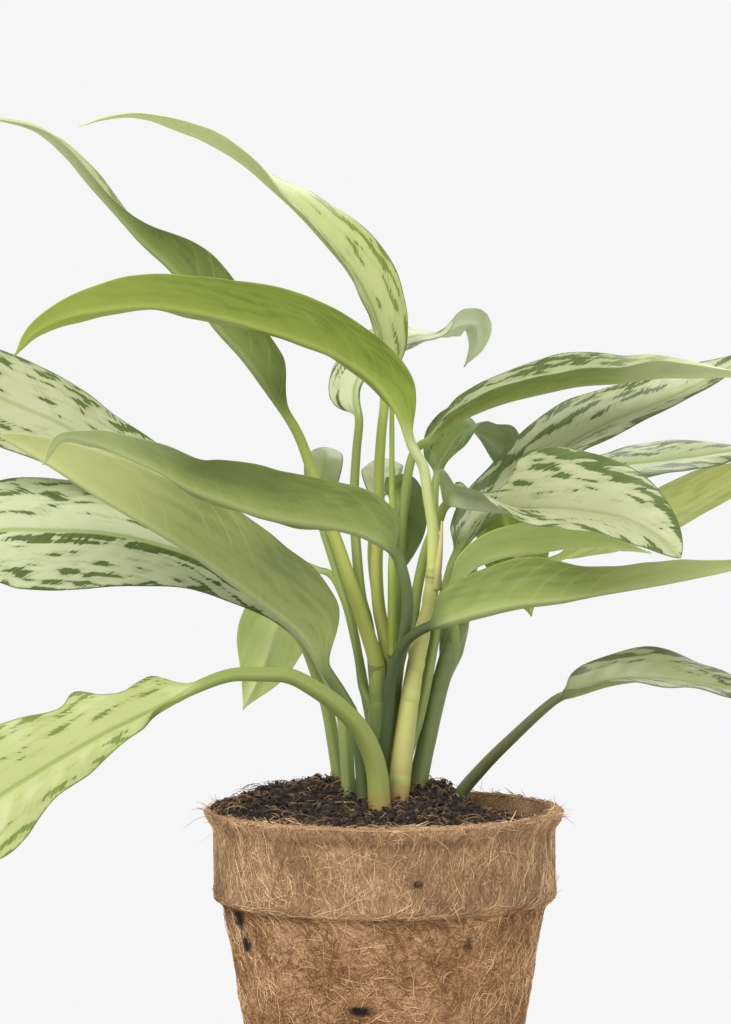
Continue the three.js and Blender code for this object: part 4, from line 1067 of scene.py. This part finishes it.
        "stalk": [(3, 10, 159), (4, 6, 170), (5, -2, 183), (8, -10, 197), (9, -17, 210), (7, -22, 222)],
        "rib": [
            (4, -24, 230), (-6, -28, 237), (-19, -33, 241), (-33, -38, 243), (-47, -43, 246),
            (-61, -47, 251), (-74, -50, 256), (-86, -53, 263), (-99, -55, 269), (-111, -56, 274),
            (-123, -56, 275), (-130, -55, 265),
        ],
        "roll": [128, 124, 124, 124, 124, 124, 120, 116, 114, 116, 120, 130],
        "fold": [20, 24, 24, 24, 24, 24, 22, 20, 16, 12, 8, 5],
        "half": 21.5, "peak": 0.28, "base": 0.4, "tip": 0.95, "wave": (0.8, 3, 0), "neck": 0.05,
    },
    {
        "name": "leaf_left_folded", "on": "soil", "radius": (3.2, 2.4),
        "look": {"face": "sage", "back": "dun", "stalk": "dark", "blotch": 0.5, "tip": (0xC2C682, 0.5)},
        "stalk": [(-6, -6, 115), (-8, -6, 133), (-9, -6, 147), (-12, -6, 164), (-16, -7, 172)],
        "rib": [
            (-21, -8, 180), (-32, -9, 196), (-49, -10, 210), (-64, -11, 221), (-78, -12, 231),
            (-91, -13, 239), (-111, -14, 251), (-131, -15, 264), (-150, -15, 275),
        ],
        "roll": [115, 115, 115, 115, 115, 115, 116, 118, 120],
        "fold": [50, 58, 60, 60, 60, 58, 54, 46, 36],
        "half": 24.5, "peak": 0.26, "base": 0.6, "tip": 0.62, "wave": (0.6, 3, 0),
    },
    {
        "name": "leaf_left_variegated", "on": "soil", "radius": (3, 2.2),
        "look": {
            "face": "cream", "back": "olive", "stalk": "green", "blotch": 0.6,
            "band": (-0.22, -0.01, 0.3),
        },
        "stalk": [(-15, 22, 113), (-17, 24, 130), (-20, 26, 150), (-23, 28, 166), (-27, 30, 178)],
        "rib": [
            (-33, 30, 192), (-43, 30, 201), (-58, 30, 213), (-73, 29, 224), (-93, 28, 231),
            (-113, 26, 235), (-133, 24, 236), (-153, 22, 236), (-170, 19, 232), (-186, 15, 224),
        ],
        "roll": [35, 32, 28, 26, 25, 25, 25, 25, 25, 25],
        "fold": [10, 5, 0, -8, -10, -10, -10, -8, -5, -5],
        "half": 24.5, "peak": 0.72, "base": 1.3, "tip": 1.1, "wave": (0.8, 3, 0),
    },
    {
        "name": "leaf_left_high", "on": "soil", "radius": (3, 2),
        "look": {"face": "dusty", "back": "olive", "stalk": "green", "blotch": 0.65},
        "stalk": [
            (-13, -1, 114), (-14, 1, 132), (-15, 4, 150), (-17, 9, 167), (-21, 14, 176), (-26, 18, 185),
            (-31, 22, 195), (-42, 29, 211),
        ],
        "rib": [
            (-54, 36, 230), (-68, 37, 240), (-82, 37, 250), (-96, 36, 260), (-114, 35, 269),
            (-129, 33, 278), (-145, 31, 285), (-159, 28, 291), (-174, 23, 297), (-188, 18, 300),
        ],
        "roll": [40, 38, 35, 32, 30, 30, 30, 30, 30, 30],
        "fold": [10, 8, 5, 2, 0, 0, 0, 0, 0, 0],
        "half": 20.5, "peak": 0.8, "base": 1, "tip": 1.1, "wave": (0.6, 3, 0),
    },
    {
        "name": "leaf_left_hanging", "on": "cane_left", "radius": (2.2, 1.6),
        "look": {"face": "sage", "back": "glow", "stalk": "green", "blotch": 0.4, "thin": 0.1},
        "stalk": [
            (-3, 11, 149), (-5, 15, 159), (-7, 19, 169), (-9, 25, 180), (-12, 30, 194), (-16, 36, 208),
        ],
        "rib": [
            (-22, 42, 218), (-31, 47, 218), (-38, 50, 208), (-44, 52, 194), (-49, 53, 179),
            (-57, 53, 162),
        ],
        "roll": [100, 130, 160, 168, 168, 168],
        "fold": [8, 8, 6, 5, 5, 5],
        "half": 15, "peak": 0.5, "base": 0.75, "tip": 1.1, "wave": (0.6, 2, 0),
    },
    {
        "name": "leaf_back_left", "on": "cane_left", "faces": "up", "radius": (1.9, 1.5),
        "look": {"face": "grey", "back": "grey", "stalk": "green", "blotch": -0.8},
        "stalk": [
            (-5, 8, 167), (-8, 10, 173), (-10, 17, 185), (-13, 24, 200), (-18, 30, 216), (-22, 34, 228),
        ],
        "rib": [
            (-25, 37, 238), (-25, 41, 251), (-24, 49, 263), (-24, 59, 268), (-27, 74, 265),
            (-30, 86, 255), (-32, 94, 242),
        ],
        "roll": [0],
        "fold": [-25],
        "half": 8, "peak": 0.4, "base": 0.75, "tip": 1.1, "wave": (0.5, 2, 0),
    },
    {
        "name": "leaf_back_centre", "on": "cane_back", "faces": "up", "radius": (2, 1.6),
        "look": {"face": "dusty", "back": "grey", "stalk": "green", "blotch": -0.2},
        "stalk": [(1, 18, 180), (0, 22, 189), (-3, 32, 208), (-5, 42, 227)],
        "rib": [(-3, 50, 243), (-2, 62, 254), (-1, 80, 262), (1, 100, 261), (3, 120, 252), (4, 134, 240)],
        "roll": [0],
        "fold": [-25],
        "half": 9, "peak": 0.4, "base": 0.75, "tip": 1.1, "wave": (0.5, 2, 0),
    },
    {
        "name": "leaf_back_dark", "on": "cane_back", "radius": (2, 1.6),
        "look": {"face": "deep", "back": "dark", "stalk": "green", "blotch": -0.4},
        "stalk": [(5, 19, 173), (6, 24, 182), (6, 29, 204), (5, 32, 220), (5, 32, 237)],
        "rib": [(5, 34, 246), (5, 39, 252), (7, 47, 249), (9, 54, 239), (8, 58, 227), (4, 61, 212)],
        "roll": [0, -20, -30, -30, -30, -30],
        "fold": [8],
        "half": 9.5, "peak": 0.4, "base": 0.75, "tip": 1.1, "wave": (0.5, 2, 0),
    },
]


def along_rib(values, share):
    """A value from a short list spread evenly along the rib, on a smooth curve through the list."""
    if len(values) == 1:
        return values[0]
    place = min(max(share, 0), 1) * (len(values) - 1)
    low = min(int(place), len(values) - 2)
    part = place - low
    before = values[max(low - 1, 0)]
    first, second = values[low], values[low + 1]
    after = values[min(low + 2, len(values) - 1)]
    return 0.5 * (
        2 * first
        + (second - before) * part
        + (2 * before - 5 * first + 4 * second - after) * part**2
        + (3 * first - before - 3 * second + after) * part**3
    )


def smoothstep(value, low, high):
    share = min(max((value - low) / (high - low), 0), 1)
    return share * share * (3 - 2 * share)


def blade_width(leaf, share):
    rising = math.sin(math.pi / 2 * min(share / leaf["peak"], 1)) ** leaf["base"]
    falling = math.cos(math.pi / 2 * max((share - leaf["peak"]) / (1 - leaf["peak"]), 0)) ** leaf["tip"]
    return max(leaf["half"] * rising * falling, 0.25)


def leaf_frame(leaf, along, rib_share, side):
    """The way that the leaf's upper face looks, and the way across it, at a place on its line."""
    faces = UPWARDS if leaf.get("faces") == "up" else TOWARDS_VIEWER
    roll = math.radians(along_rib(leaf["roll"], rib_share))
    facing = (faces - along * along.dot(faces)).normalized()
    outward = along.cross(facing) * side
    up = facing * math.cos(roll) + outward * math.sin(roll)
    return up, along.cross(up)


def stalk_ring(point, up, across, radius, channel):
    """A round section, dented along its upper side."""
    count = len(ACROSS)
    section = []
    for place in range(2 * count):
        angle = (place + 0.5) / count * math.pi
        dent = channel * math.exp(-(((angle - math.pi / 2) / 0.45) ** 2))
        girth = radius * (1 - dent)
        section.append(point + across * (girth * math.cos(angle)) + up * (girth * math.sin(angle)))
    return section


def blade_ring(leaf, share, rib_share, point, up, across, run, seed):
    """A blade's section, with its marks: upper face from margin to margin, and back below."""
    width = blade_width(leaf, share)
    fold = math.radians(along_rib(leaf["fold"], rib_share))
    rib_depth = leaf["radius"][1] * 1.1 * (1 - share) + 0.45 * share
    rib_width = 0.5 + 1.1 * rib_depth
    upper, lower, upper_marks, lower_marks = [], [], [], []
    for reach in ACROSS:
        side = 1 if reach > 0 else -1 if reach < 0 else 0
        trim = leaf.get("left" if side < 0 else "right")
        near = along_rib(trim, rib_share) if trim else 1
        out = abs(reach)
        flat = out * width * near
        calm = min(1, width / (0.35 * leaf["half"]))
        phase = 2 * math.pi * leaf["wave"][1] * share + leaf["wave"][2] + (1.3 if side > 0 else 0)
        ripple = leaf["wave"][0] * out**2 * math.sin(phase) * calm
        ripple += 0.7 * out**2 * calm * noise.noise(Vector((run / 13, side * 3, seed)))
        crown = 0.045 * width * math.sin(math.pi * out) * calm
        wander = 2.5 * noise.noise(Vector((run / 25, side * 5, seed + 40)))
        vein = (run - VEIN_SLANT * flat - VEIN_BEND * flat**2 + wander) / VEIN_SPACING
        quilt = -0.22 * math.cos(2 * math.pi * vein) * math.sin(math.pi * min(out * 1.05, 1)) * calm
        middle = point + across * (side * flat * math.cos(fold))
        middle = middle + up * (flat * math.sin(fold) + ripple + crown + quilt)
        normal = up * math.cos(fold) - across * (side * math.sin(fold))
        groove = 0.35 * math.exp(-((flat / 0.9) ** 2)) * calm
        ridge = rib_depth * math.exp(-((flat / rib_width) ** 2)) * calm
        thick = BLADE_THICKNESS / 2 * (0.35 + 0.65 * min(1, (1 - out) / 0.08))
        upper.append(middle + normal * (thick - groove))
        lower.append(middle - normal * (thick + ridge))
        measures = Vector((side * flat, run, (1 - out) * width * near))
        upper_marks.append((measures, Vector((reach, share, 1))))
        lower_marks.append((measures, Vector((reach, share, 0))))
    return upper + lower[::-1], upper_marks + lower_marks[::-1]


def sheath_rings(leaf, side):
    """The lowest rings of a stalk that clasps a cane: they wrap it, and slip off it up to the foot."""
    cane = next(cane for cane in CANES if cane["name"] == leaf["on"])
    foot = Vector(leaf["stalk"][0])
    levels = [z for _, _, z in cane["path"]]
    girths = [(levels[0], cane["radius"][0]), (levels[-1], cane["radius"][1])]
    points = []
    for down in (SHEATH_LENGTH, SHEATH_LENGTH * 0.6):
        height = min(foot.z, levels[-1]) - down
        x = between([(z, x) for x, _, z in cane["path"]], height)
        y = between([(z, y) for _, y, z in cane["path"]], height)
        points.append(Vector((x, y, height)))
    line = smooth_line([*points, foot, *leaf["stalk"][1:3]])
    wrap = between(girths, points[0].z)
    rings, marks = [], []
    for share, line_share, point, along, run in stations(line, 0, 2 / 4, STALK_SPACING / 2)[:-1]:
        up, across = leaf_frame(leaf, along, 0, side)
        girth = wrap + (leaf["radius"][0] - wrap) * smoothstep(share, 0.1, 1)
        girth += between([(0, -0.4), (0.3, 0.15), (1, 0)], share)
        rings.append(stalk_ring(point, up, across, girth, 0))
        marks.append([Vector((spot, share - 2, 0)) for spot in (*ACROSS, *reversed(ACROSS))])
    return rings, marks


def grow_leaf(leaf, seed):
    line = smooth_line(leaf["stalk"] + leaf["rib"])
    blade_start = len(leaf["stalk"]) / (len(leaf["stalk"]) + len(leaf["rib"]) - 1)
    side = 1 if leaf["rib"][-1][0] < leaf["rib"][0][0] else -1
    foot, neck = leaf["radius"]
    rows, measures, places = [], [], []
    spots = [*ACROSS, *reversed(ACROSS)]
    on_top = [1] * len(ACROSS) + [0] * len(ACROSS)
    if leaf["on"] != "soil":
        rows, places = sheath_rings(leaf, side)
        measures = [[Vector((spot * foot, 0, 9)) for spot in spots]] * len(rows)
    for share, _, point, along, run in stations(line, 0, blade_start, STALK_SPACING)[:-1]:
        up, across = leaf_frame(leaf, along, 0, side)
        channel = STALK_CHANNEL * smoothstep(share, 0, 0.3)
        rows.append(stalk_ring(point, up, across, foot + (neck - foot) * share, channel))
        measures.append([Vector((spot * neck, run, 9)) for spot in spots])
        places.append([Vector((spot, share - 1, top)) for spot, top in zip(spots, on_top)])
    for share, line_share, point, along, run in stations(line, blade_start, 1, BLADE_SPACING):
        rib_share = (line_share - blade_start) / (1 - blade_start)
        up, across = leaf_frame(leaf, along, rib_share, side)
        section, marks = blade_ring(leaf, share, rib_share, point, up, across, run, seed)
        round_section = stalk_ring(point, up, across, neck, STALK_CHANNEL)
        flat = smoothstep(share, 0, leaf.get("neck", NECK))
        rows.append([first.lerp(second, flat) for first, second in zip(round_section, section)])
        measures.append([measure for measure, _ in marks])
        places.append([place for _, place in marks])
    for end, beyond in ((0, 0), (len(rows) - 1, len(rows) + 1)):
        middle = sum(rows[end if end == 0 else -1], Vector()) / len(rows[0])
        rows.insert(beyond, [middle] * len(rows[0]))
        measures.insert(beyond, measures[end if end == 0 else -1])
        places.insert(beyond, places[end if end == 0 else -1])
    node = leaf["name"]
    piece = skin_over(node.replace("leaf_", "") + "_leaf", rows, {"skin": measures, "place": places})
    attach(piece, "root")
    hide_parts(node)
    return piece


def leaf_skin(name, look, seed):
    """Living leaf: a satin waxy skin over translucent green, blotched dark and pale above, plain below."""
    material, tree = new_material("waxy leaf of " + name)
    skin = add_node(tree, "Attribute", {}, attribute_name="skin")
    mark = add_node(tree, "Attribute", {}, attribute_name="place")
    measure = add_node(tree, "SeparateXYZ", {0: (skin, "Vector")})  # mm across, mm along, mm from margin
    place = add_node(tree, "SeparateXYZ", {0: (mark, "Vector")})  # reach, share of the blade, upper face
    out = add_node(tree, "Math", {0: (measure, "X")}, operation="ABSOLUTE")
    vein_slope = add_node(tree, "Math", {0: out, 1: -VEIN_BEND, 2: -VEIN_SLANT}, operation="MULTIPLY_ADD")
    vein_place = add_node(
        tree, "Math", {0: out, 1: vein_slope, 2: (measure, "Y")}, operation="MULTIPLY_ADD"
    )
    half = add_node(tree, "Math", {0: (measure, "X")}, operation="SIGN")
    own = (seed * 3.7, seed * 1.3, seed * 5)
    leaned = add_node(tree, "Math", {0: out, 1: -0.7, 2: (measure, "Y")}, operation="MULTIPLY_ADD")
    spread = add_node(tree, "CombineXYZ", {0: leaned, 1: out, 2: half})
    spread = add_node(
        tree, "VectorMath", {0: spread, 1: (1 / 15, 1 / 3.1, 7), 2: own}, operation="MULTIPLY_ADD"
    )
    patches = add_node(tree, "TexNoise", {"Vector": spread, "Scale": 1, "Detail": 1.5})
    veined = add_node(tree, "CombineXYZ", {0: vein_place, 1: out, 2: half})
    veined = add_node(
        tree, "VectorMath", {0: veined, 1: (1 / 1.3, 1 / 7, 7), 2: own}, operation="MULTIPLY_ADD"
    )
    teeth = add_node(tree, "TexNoise", {"Vector": veined, "Scale": 1, "Detail": 1.5})
    reach = add_node(tree, "Math", {0: (place, "X")}, operation="ABSOLUTE")
    ready = add_node(tree, "ValToRGB", {0: reach})
    ready.color_ramp.elements[0].position = 0.12
    ready.color_ramp.elements[1].position = 1
    for stop, level in ((0.3, 0.42), (0.6, 0.62), (0.85, 0.78), (0.95, 0.86)):
        ready.color_ramp.elements.new(stop).color = (level, level, level, 1)
    amount = add_node(tree, "Math", {0: ready, 1: 0.28, 2: patches}, operation="MULTIPLY_ADD")
    amount = add_node(tree, "Math", {0: teeth, 1: 0.26, 2: amount}, operation="MULTIPLY_ADD")
    amount = add_node(
        tree, "Math", {0: (place, "X"), 1: look.get("tilt", 0), 2: amount}, operation="MULTIPLY_ADD"
    )
    by_foot = add_node(
        tree, "MapRange", {0: (place, "Y"), 1: 0.05, 2: 0.45, 3: look.get("foot_blotch", 0), 4: 0}
    )
    amount = add_node(tree, "Math", {0: amount, 1: by_foot}, operation="ADD")
    if look.get("band"):
        low, high, gain = look["band"]
        inside = add_node(tree, "MapRange", {0: (place, "X"), 1: low - 0.04, 2: low + 0.04})
        past = add_node(tree, "MapRange", {0: (place, "X"), 1: high - 0.04, 2: high + 0.04})
        band = add_node(tree, "Math", {0: inside, 1: past}, operation="SUBTRACT")
        amount = add_node(tree, "Math", {0: band, 1: gain, 2: amount}, operation="MULTIPLY_ADD")
    edge = 0.97 - look["blotch"] * 0.12
    dark = add_node(tree, "MapRange", {0: amount, 1: edge - 0.008, 2: edge + 0.008})
    middling = add_node(tree, "MapRange", {0: amount, 1: edge - 0.13, 2: edge - 0.02, 4: 0.26})
    margin = add_node(tree, "Math", {0: teeth, 1: 1.6, 2: (measure, "Z")}, operation="MULTIPLY_ADD")
    line = add_node(tree, "MapRange", {0: margin, 1: 1.1, 2: 1.4, 3: 0.9, 4: 0})
    dark = add_node(tree, "Math", {0: dark, 1: line}, operation="MAXIMUM")
    dark = add_node(tree, "Math", {0: dark, 1: middling}, operation="MAXIMUM")
    drift = add_node(tree, "TexNoise", {"Vector": spread, "Scale": 0.35, "Detail": 3})
    pale = add_node(
        tree, "Mix", {0: drift, 6: linear(look["pale"]), 7: linear(look["pale_warm"])}, data_type="RGBA"
    )
    depth = add_node(tree, "MapRange", {0: teeth, 1: 0.3, 2: 0.7, 3: 1.25, 4: 0.8})
    blotch = add_node(tree, "HueSaturation", {"Color": linear(look["dark"]), "Value": depth})
    upper = add_node(tree, "Mix", {0: dark, 6: (pale, "Result"), 7: blotch}, data_type="RGBA")
    rib = add_node(tree, "MapRange", {0: out, 1: 0.5, 2: 1.2, 3: 1, 4: 0})
    upper = add_node(
        tree, "Mix", {0: rib, 6: (upper, "Result"), 7: linear(look["rib"])}, data_type="RGBA"
    )
    # the side veins show below as faint pale lines, and the blotches as a faint shade
    wander = add_node(tree, "Math", {0: drift, 1: 5, 2: vein_place}, operation="MULTIPLY_ADD")
    vein = add_node(tree, "Math", {0: wander, 1: VEIN_SPACING / 2}, operation="PINGPONG")
    vein = add_node(tree, "MapRange", {0: vein, 1: 0.1, 2: 1.1, 3: 0.34, 4: 0})
    fading = add_node(tree, "MapRange", {0: drift, 1: 0.42, 2: 0.62})
    vein = add_node(tree, "Math", {0: vein, 1: fading}, operation="MULTIPLY")
    mottles = add_node(tree, "MapRange", {0: amount, 1: edge - 0.2, 2: edge + 0.05, 4: 0.8})
    shaded = add_node(tree, "Math", {0: drift, 1: 0.5, 2: mottles}, operation="MULTIPLY_ADD")
    under = add_node(
        tree, "Mix", {0: shaded, 6: linear(look["under"]), 7: linear(look["under_dark"])}, data_type="RGBA"
    )
    under = add_node(
        tree, "Mix", {0: vein, 6: (under, "Result"), 7: linear(look["under_vein"])}, data_type="RGBA"
    )
    rib_below = add_node(tree, "MapRange", {0: out, 1: 0.7, 2: 2, 3: 0.6, 4: 0})
    under = add_node(
        tree, "Mix", {0: rib_below, 6: (under, "Result"), 7: linear(look["under_vein"])}, data_type="RGBA"
    )
    if look.get("shaded_half_below"):  # painted shade: one half of the underside is a deeper green, where it turns from the light
        half_side, depth = look["shaded_half_below"]
        that_half = add_node(
            tree, "MapRange", {0: (place, "X"), 1: half_side * 0.15, 2: half_side * 0.5, 4: depth}
        )
        past_base = add_node(tree, "MapRange", {0: (place, "Y"), 1: 0.24, 2: 0.4})
        short_of_tip = add_node(tree, "MapRange", {0: (place, "Y"), 1: 0.6, 2: 0.78, 3: 1, 4: 0})
        # the painted shade lies on that half, from past the base to short of the tip
        deep = add_node(tree, "Math", {0: that_half, 1: past_base}, operation="MULTIPLY")
        deep = add_node(tree, "Math", {0: deep, 1: short_of_tip}, operation="MULTIPLY")
        under = add_node(
            tree, "Mix", {0: deep, 6: (under, "Result"), 7: linear(look["dark"])}, data_type="RGBA"
        )
    blade = add_node(
        tree, "Mix", {0: (place, "Z"), 6: (under, "Result"), 7: (upper, "Result")}, data_type="RGBA"
    )
    if look.get("tip"):
        tip_tone, tip_start = look["tip"]
        near_tip = add_node(tree, "MapRange", {0: (place, "Y"), 1: tip_start, 2: tip_start + 0.35, 4: 0.9})
        blade = add_node(
            tree, "Mix", {0: near_tip, 6: (blade, "Result"), 7: linear(tip_tone)}, data_type="RGBA"
        )
    up_stalk = add_node(tree, "MapRange", {0: (place, "Y"), 1: -1, 2: 0})
    fibres = add_node(tree, "VectorMath", {0: (skin, "Vector"), 1: (2.5, 0.06, 0)}, operation="MULTIPLY")
    fibre = add_node(tree, "TexNoise", {"Vector": fibres, "Scale": 1, "Detail": 3})
    up_stalk = add_node(tree, "Math", {0: fibre, 1: 0.5, 2: up_stalk}, operation="MULTIPLY_ADD")
    up_stalk = add_node(tree, "Math", {0: up_stalk, 1: 0.25}, operation="SUBTRACT", use_clamp=True)
    stalk = add_node(
        tree, "Mix", {0: up_stalk, 6: linear(look["foot"]), 7: linear(look["neck"])}, data_type="RGBA"
    )
    browned = add_node(tree, "MapRange", {0: (place, "Y"), 1: -0.9, 2: -0.8, 3: look["browned"], 4: 0})
    browned = add_node(tree, "Math", {0: browned, 1: fibre}, operation="MULTIPLY")
    stalk = add_node(
        tree, "Mix", {0: browned, 6: (stalk, "Result"), 7: linear(0xA8703C)}, data_type="RGBA"
    )
    # where it clasps its cane it has the cane's colour
    freed = add_node(tree, "MapRange", {0: (place, "Y"), 1: -1.7, 2: -0.95})
    stalk = add_node(
        tree, "Mix", {0: freed, 6: linear(look["clasp"]), 7: (stalk, "Result")}, data_type="RGBA"
    )
    on_blade = add_node(tree, "MapRange", {0: (place, "Y"), 1: 0.0, 2: 0.07})
    colour = add_node(
        tree, "Mix", {0: on_blade, 6: (stalk, "Result"), 7: (blade, "Result")}, data_type="RGBA"
    )
    satin = add_node(tree, "MapRange", {0: (place, "Z"), 3: 0.52, 4: 0.4})
    bump = add_node(tree, "Bump", {"Height": fibre, "Strength": 0.15, "Distance": 0.1 * MM})
    surface = add_node(
        tree, "BsdfPrincipled",
        {"Base Color": (colour, "Result"), "Roughness": satin, "Specular IOR Level": 0.4, "Normal": bump},
    )
    lit = add_node(
        tree, "HueSaturation", {"Color": (colour, "Result"), "Saturation": 1.1, "Value": 1.05}
    )
    through = add_node(tree, "BsdfTranslucent", {"Color": lit})
    thin = add_node(tree, "Math", {0: on_blade, 1: look.get("thin", 0.2)}, operation="MULTIPLY")
    leaf_shader = add_node(tree, "MixShader", {0: thin, 1: surface, 2: through})
    add_node(tree, "OutputMaterial", {"Surface": leaf_shader})
    return material


for number, leaf in enumerate(LEAVES):
    piece = grow_leaf(leaf, number)
    cane = next((cane for cane in CANES if cane["name"] == leaf["on"]), {"top": 0})
    look = {"clasp": cane["top"], "browned": 0} | leaf["look"]
    look |= UPPER_SIDES[look["face"]] | UNDERSIDES[look["back"]] | STALK_TONES[look["stalk"]]
    piece.data.materials.append(leaf_skin(piece.name, look, number))
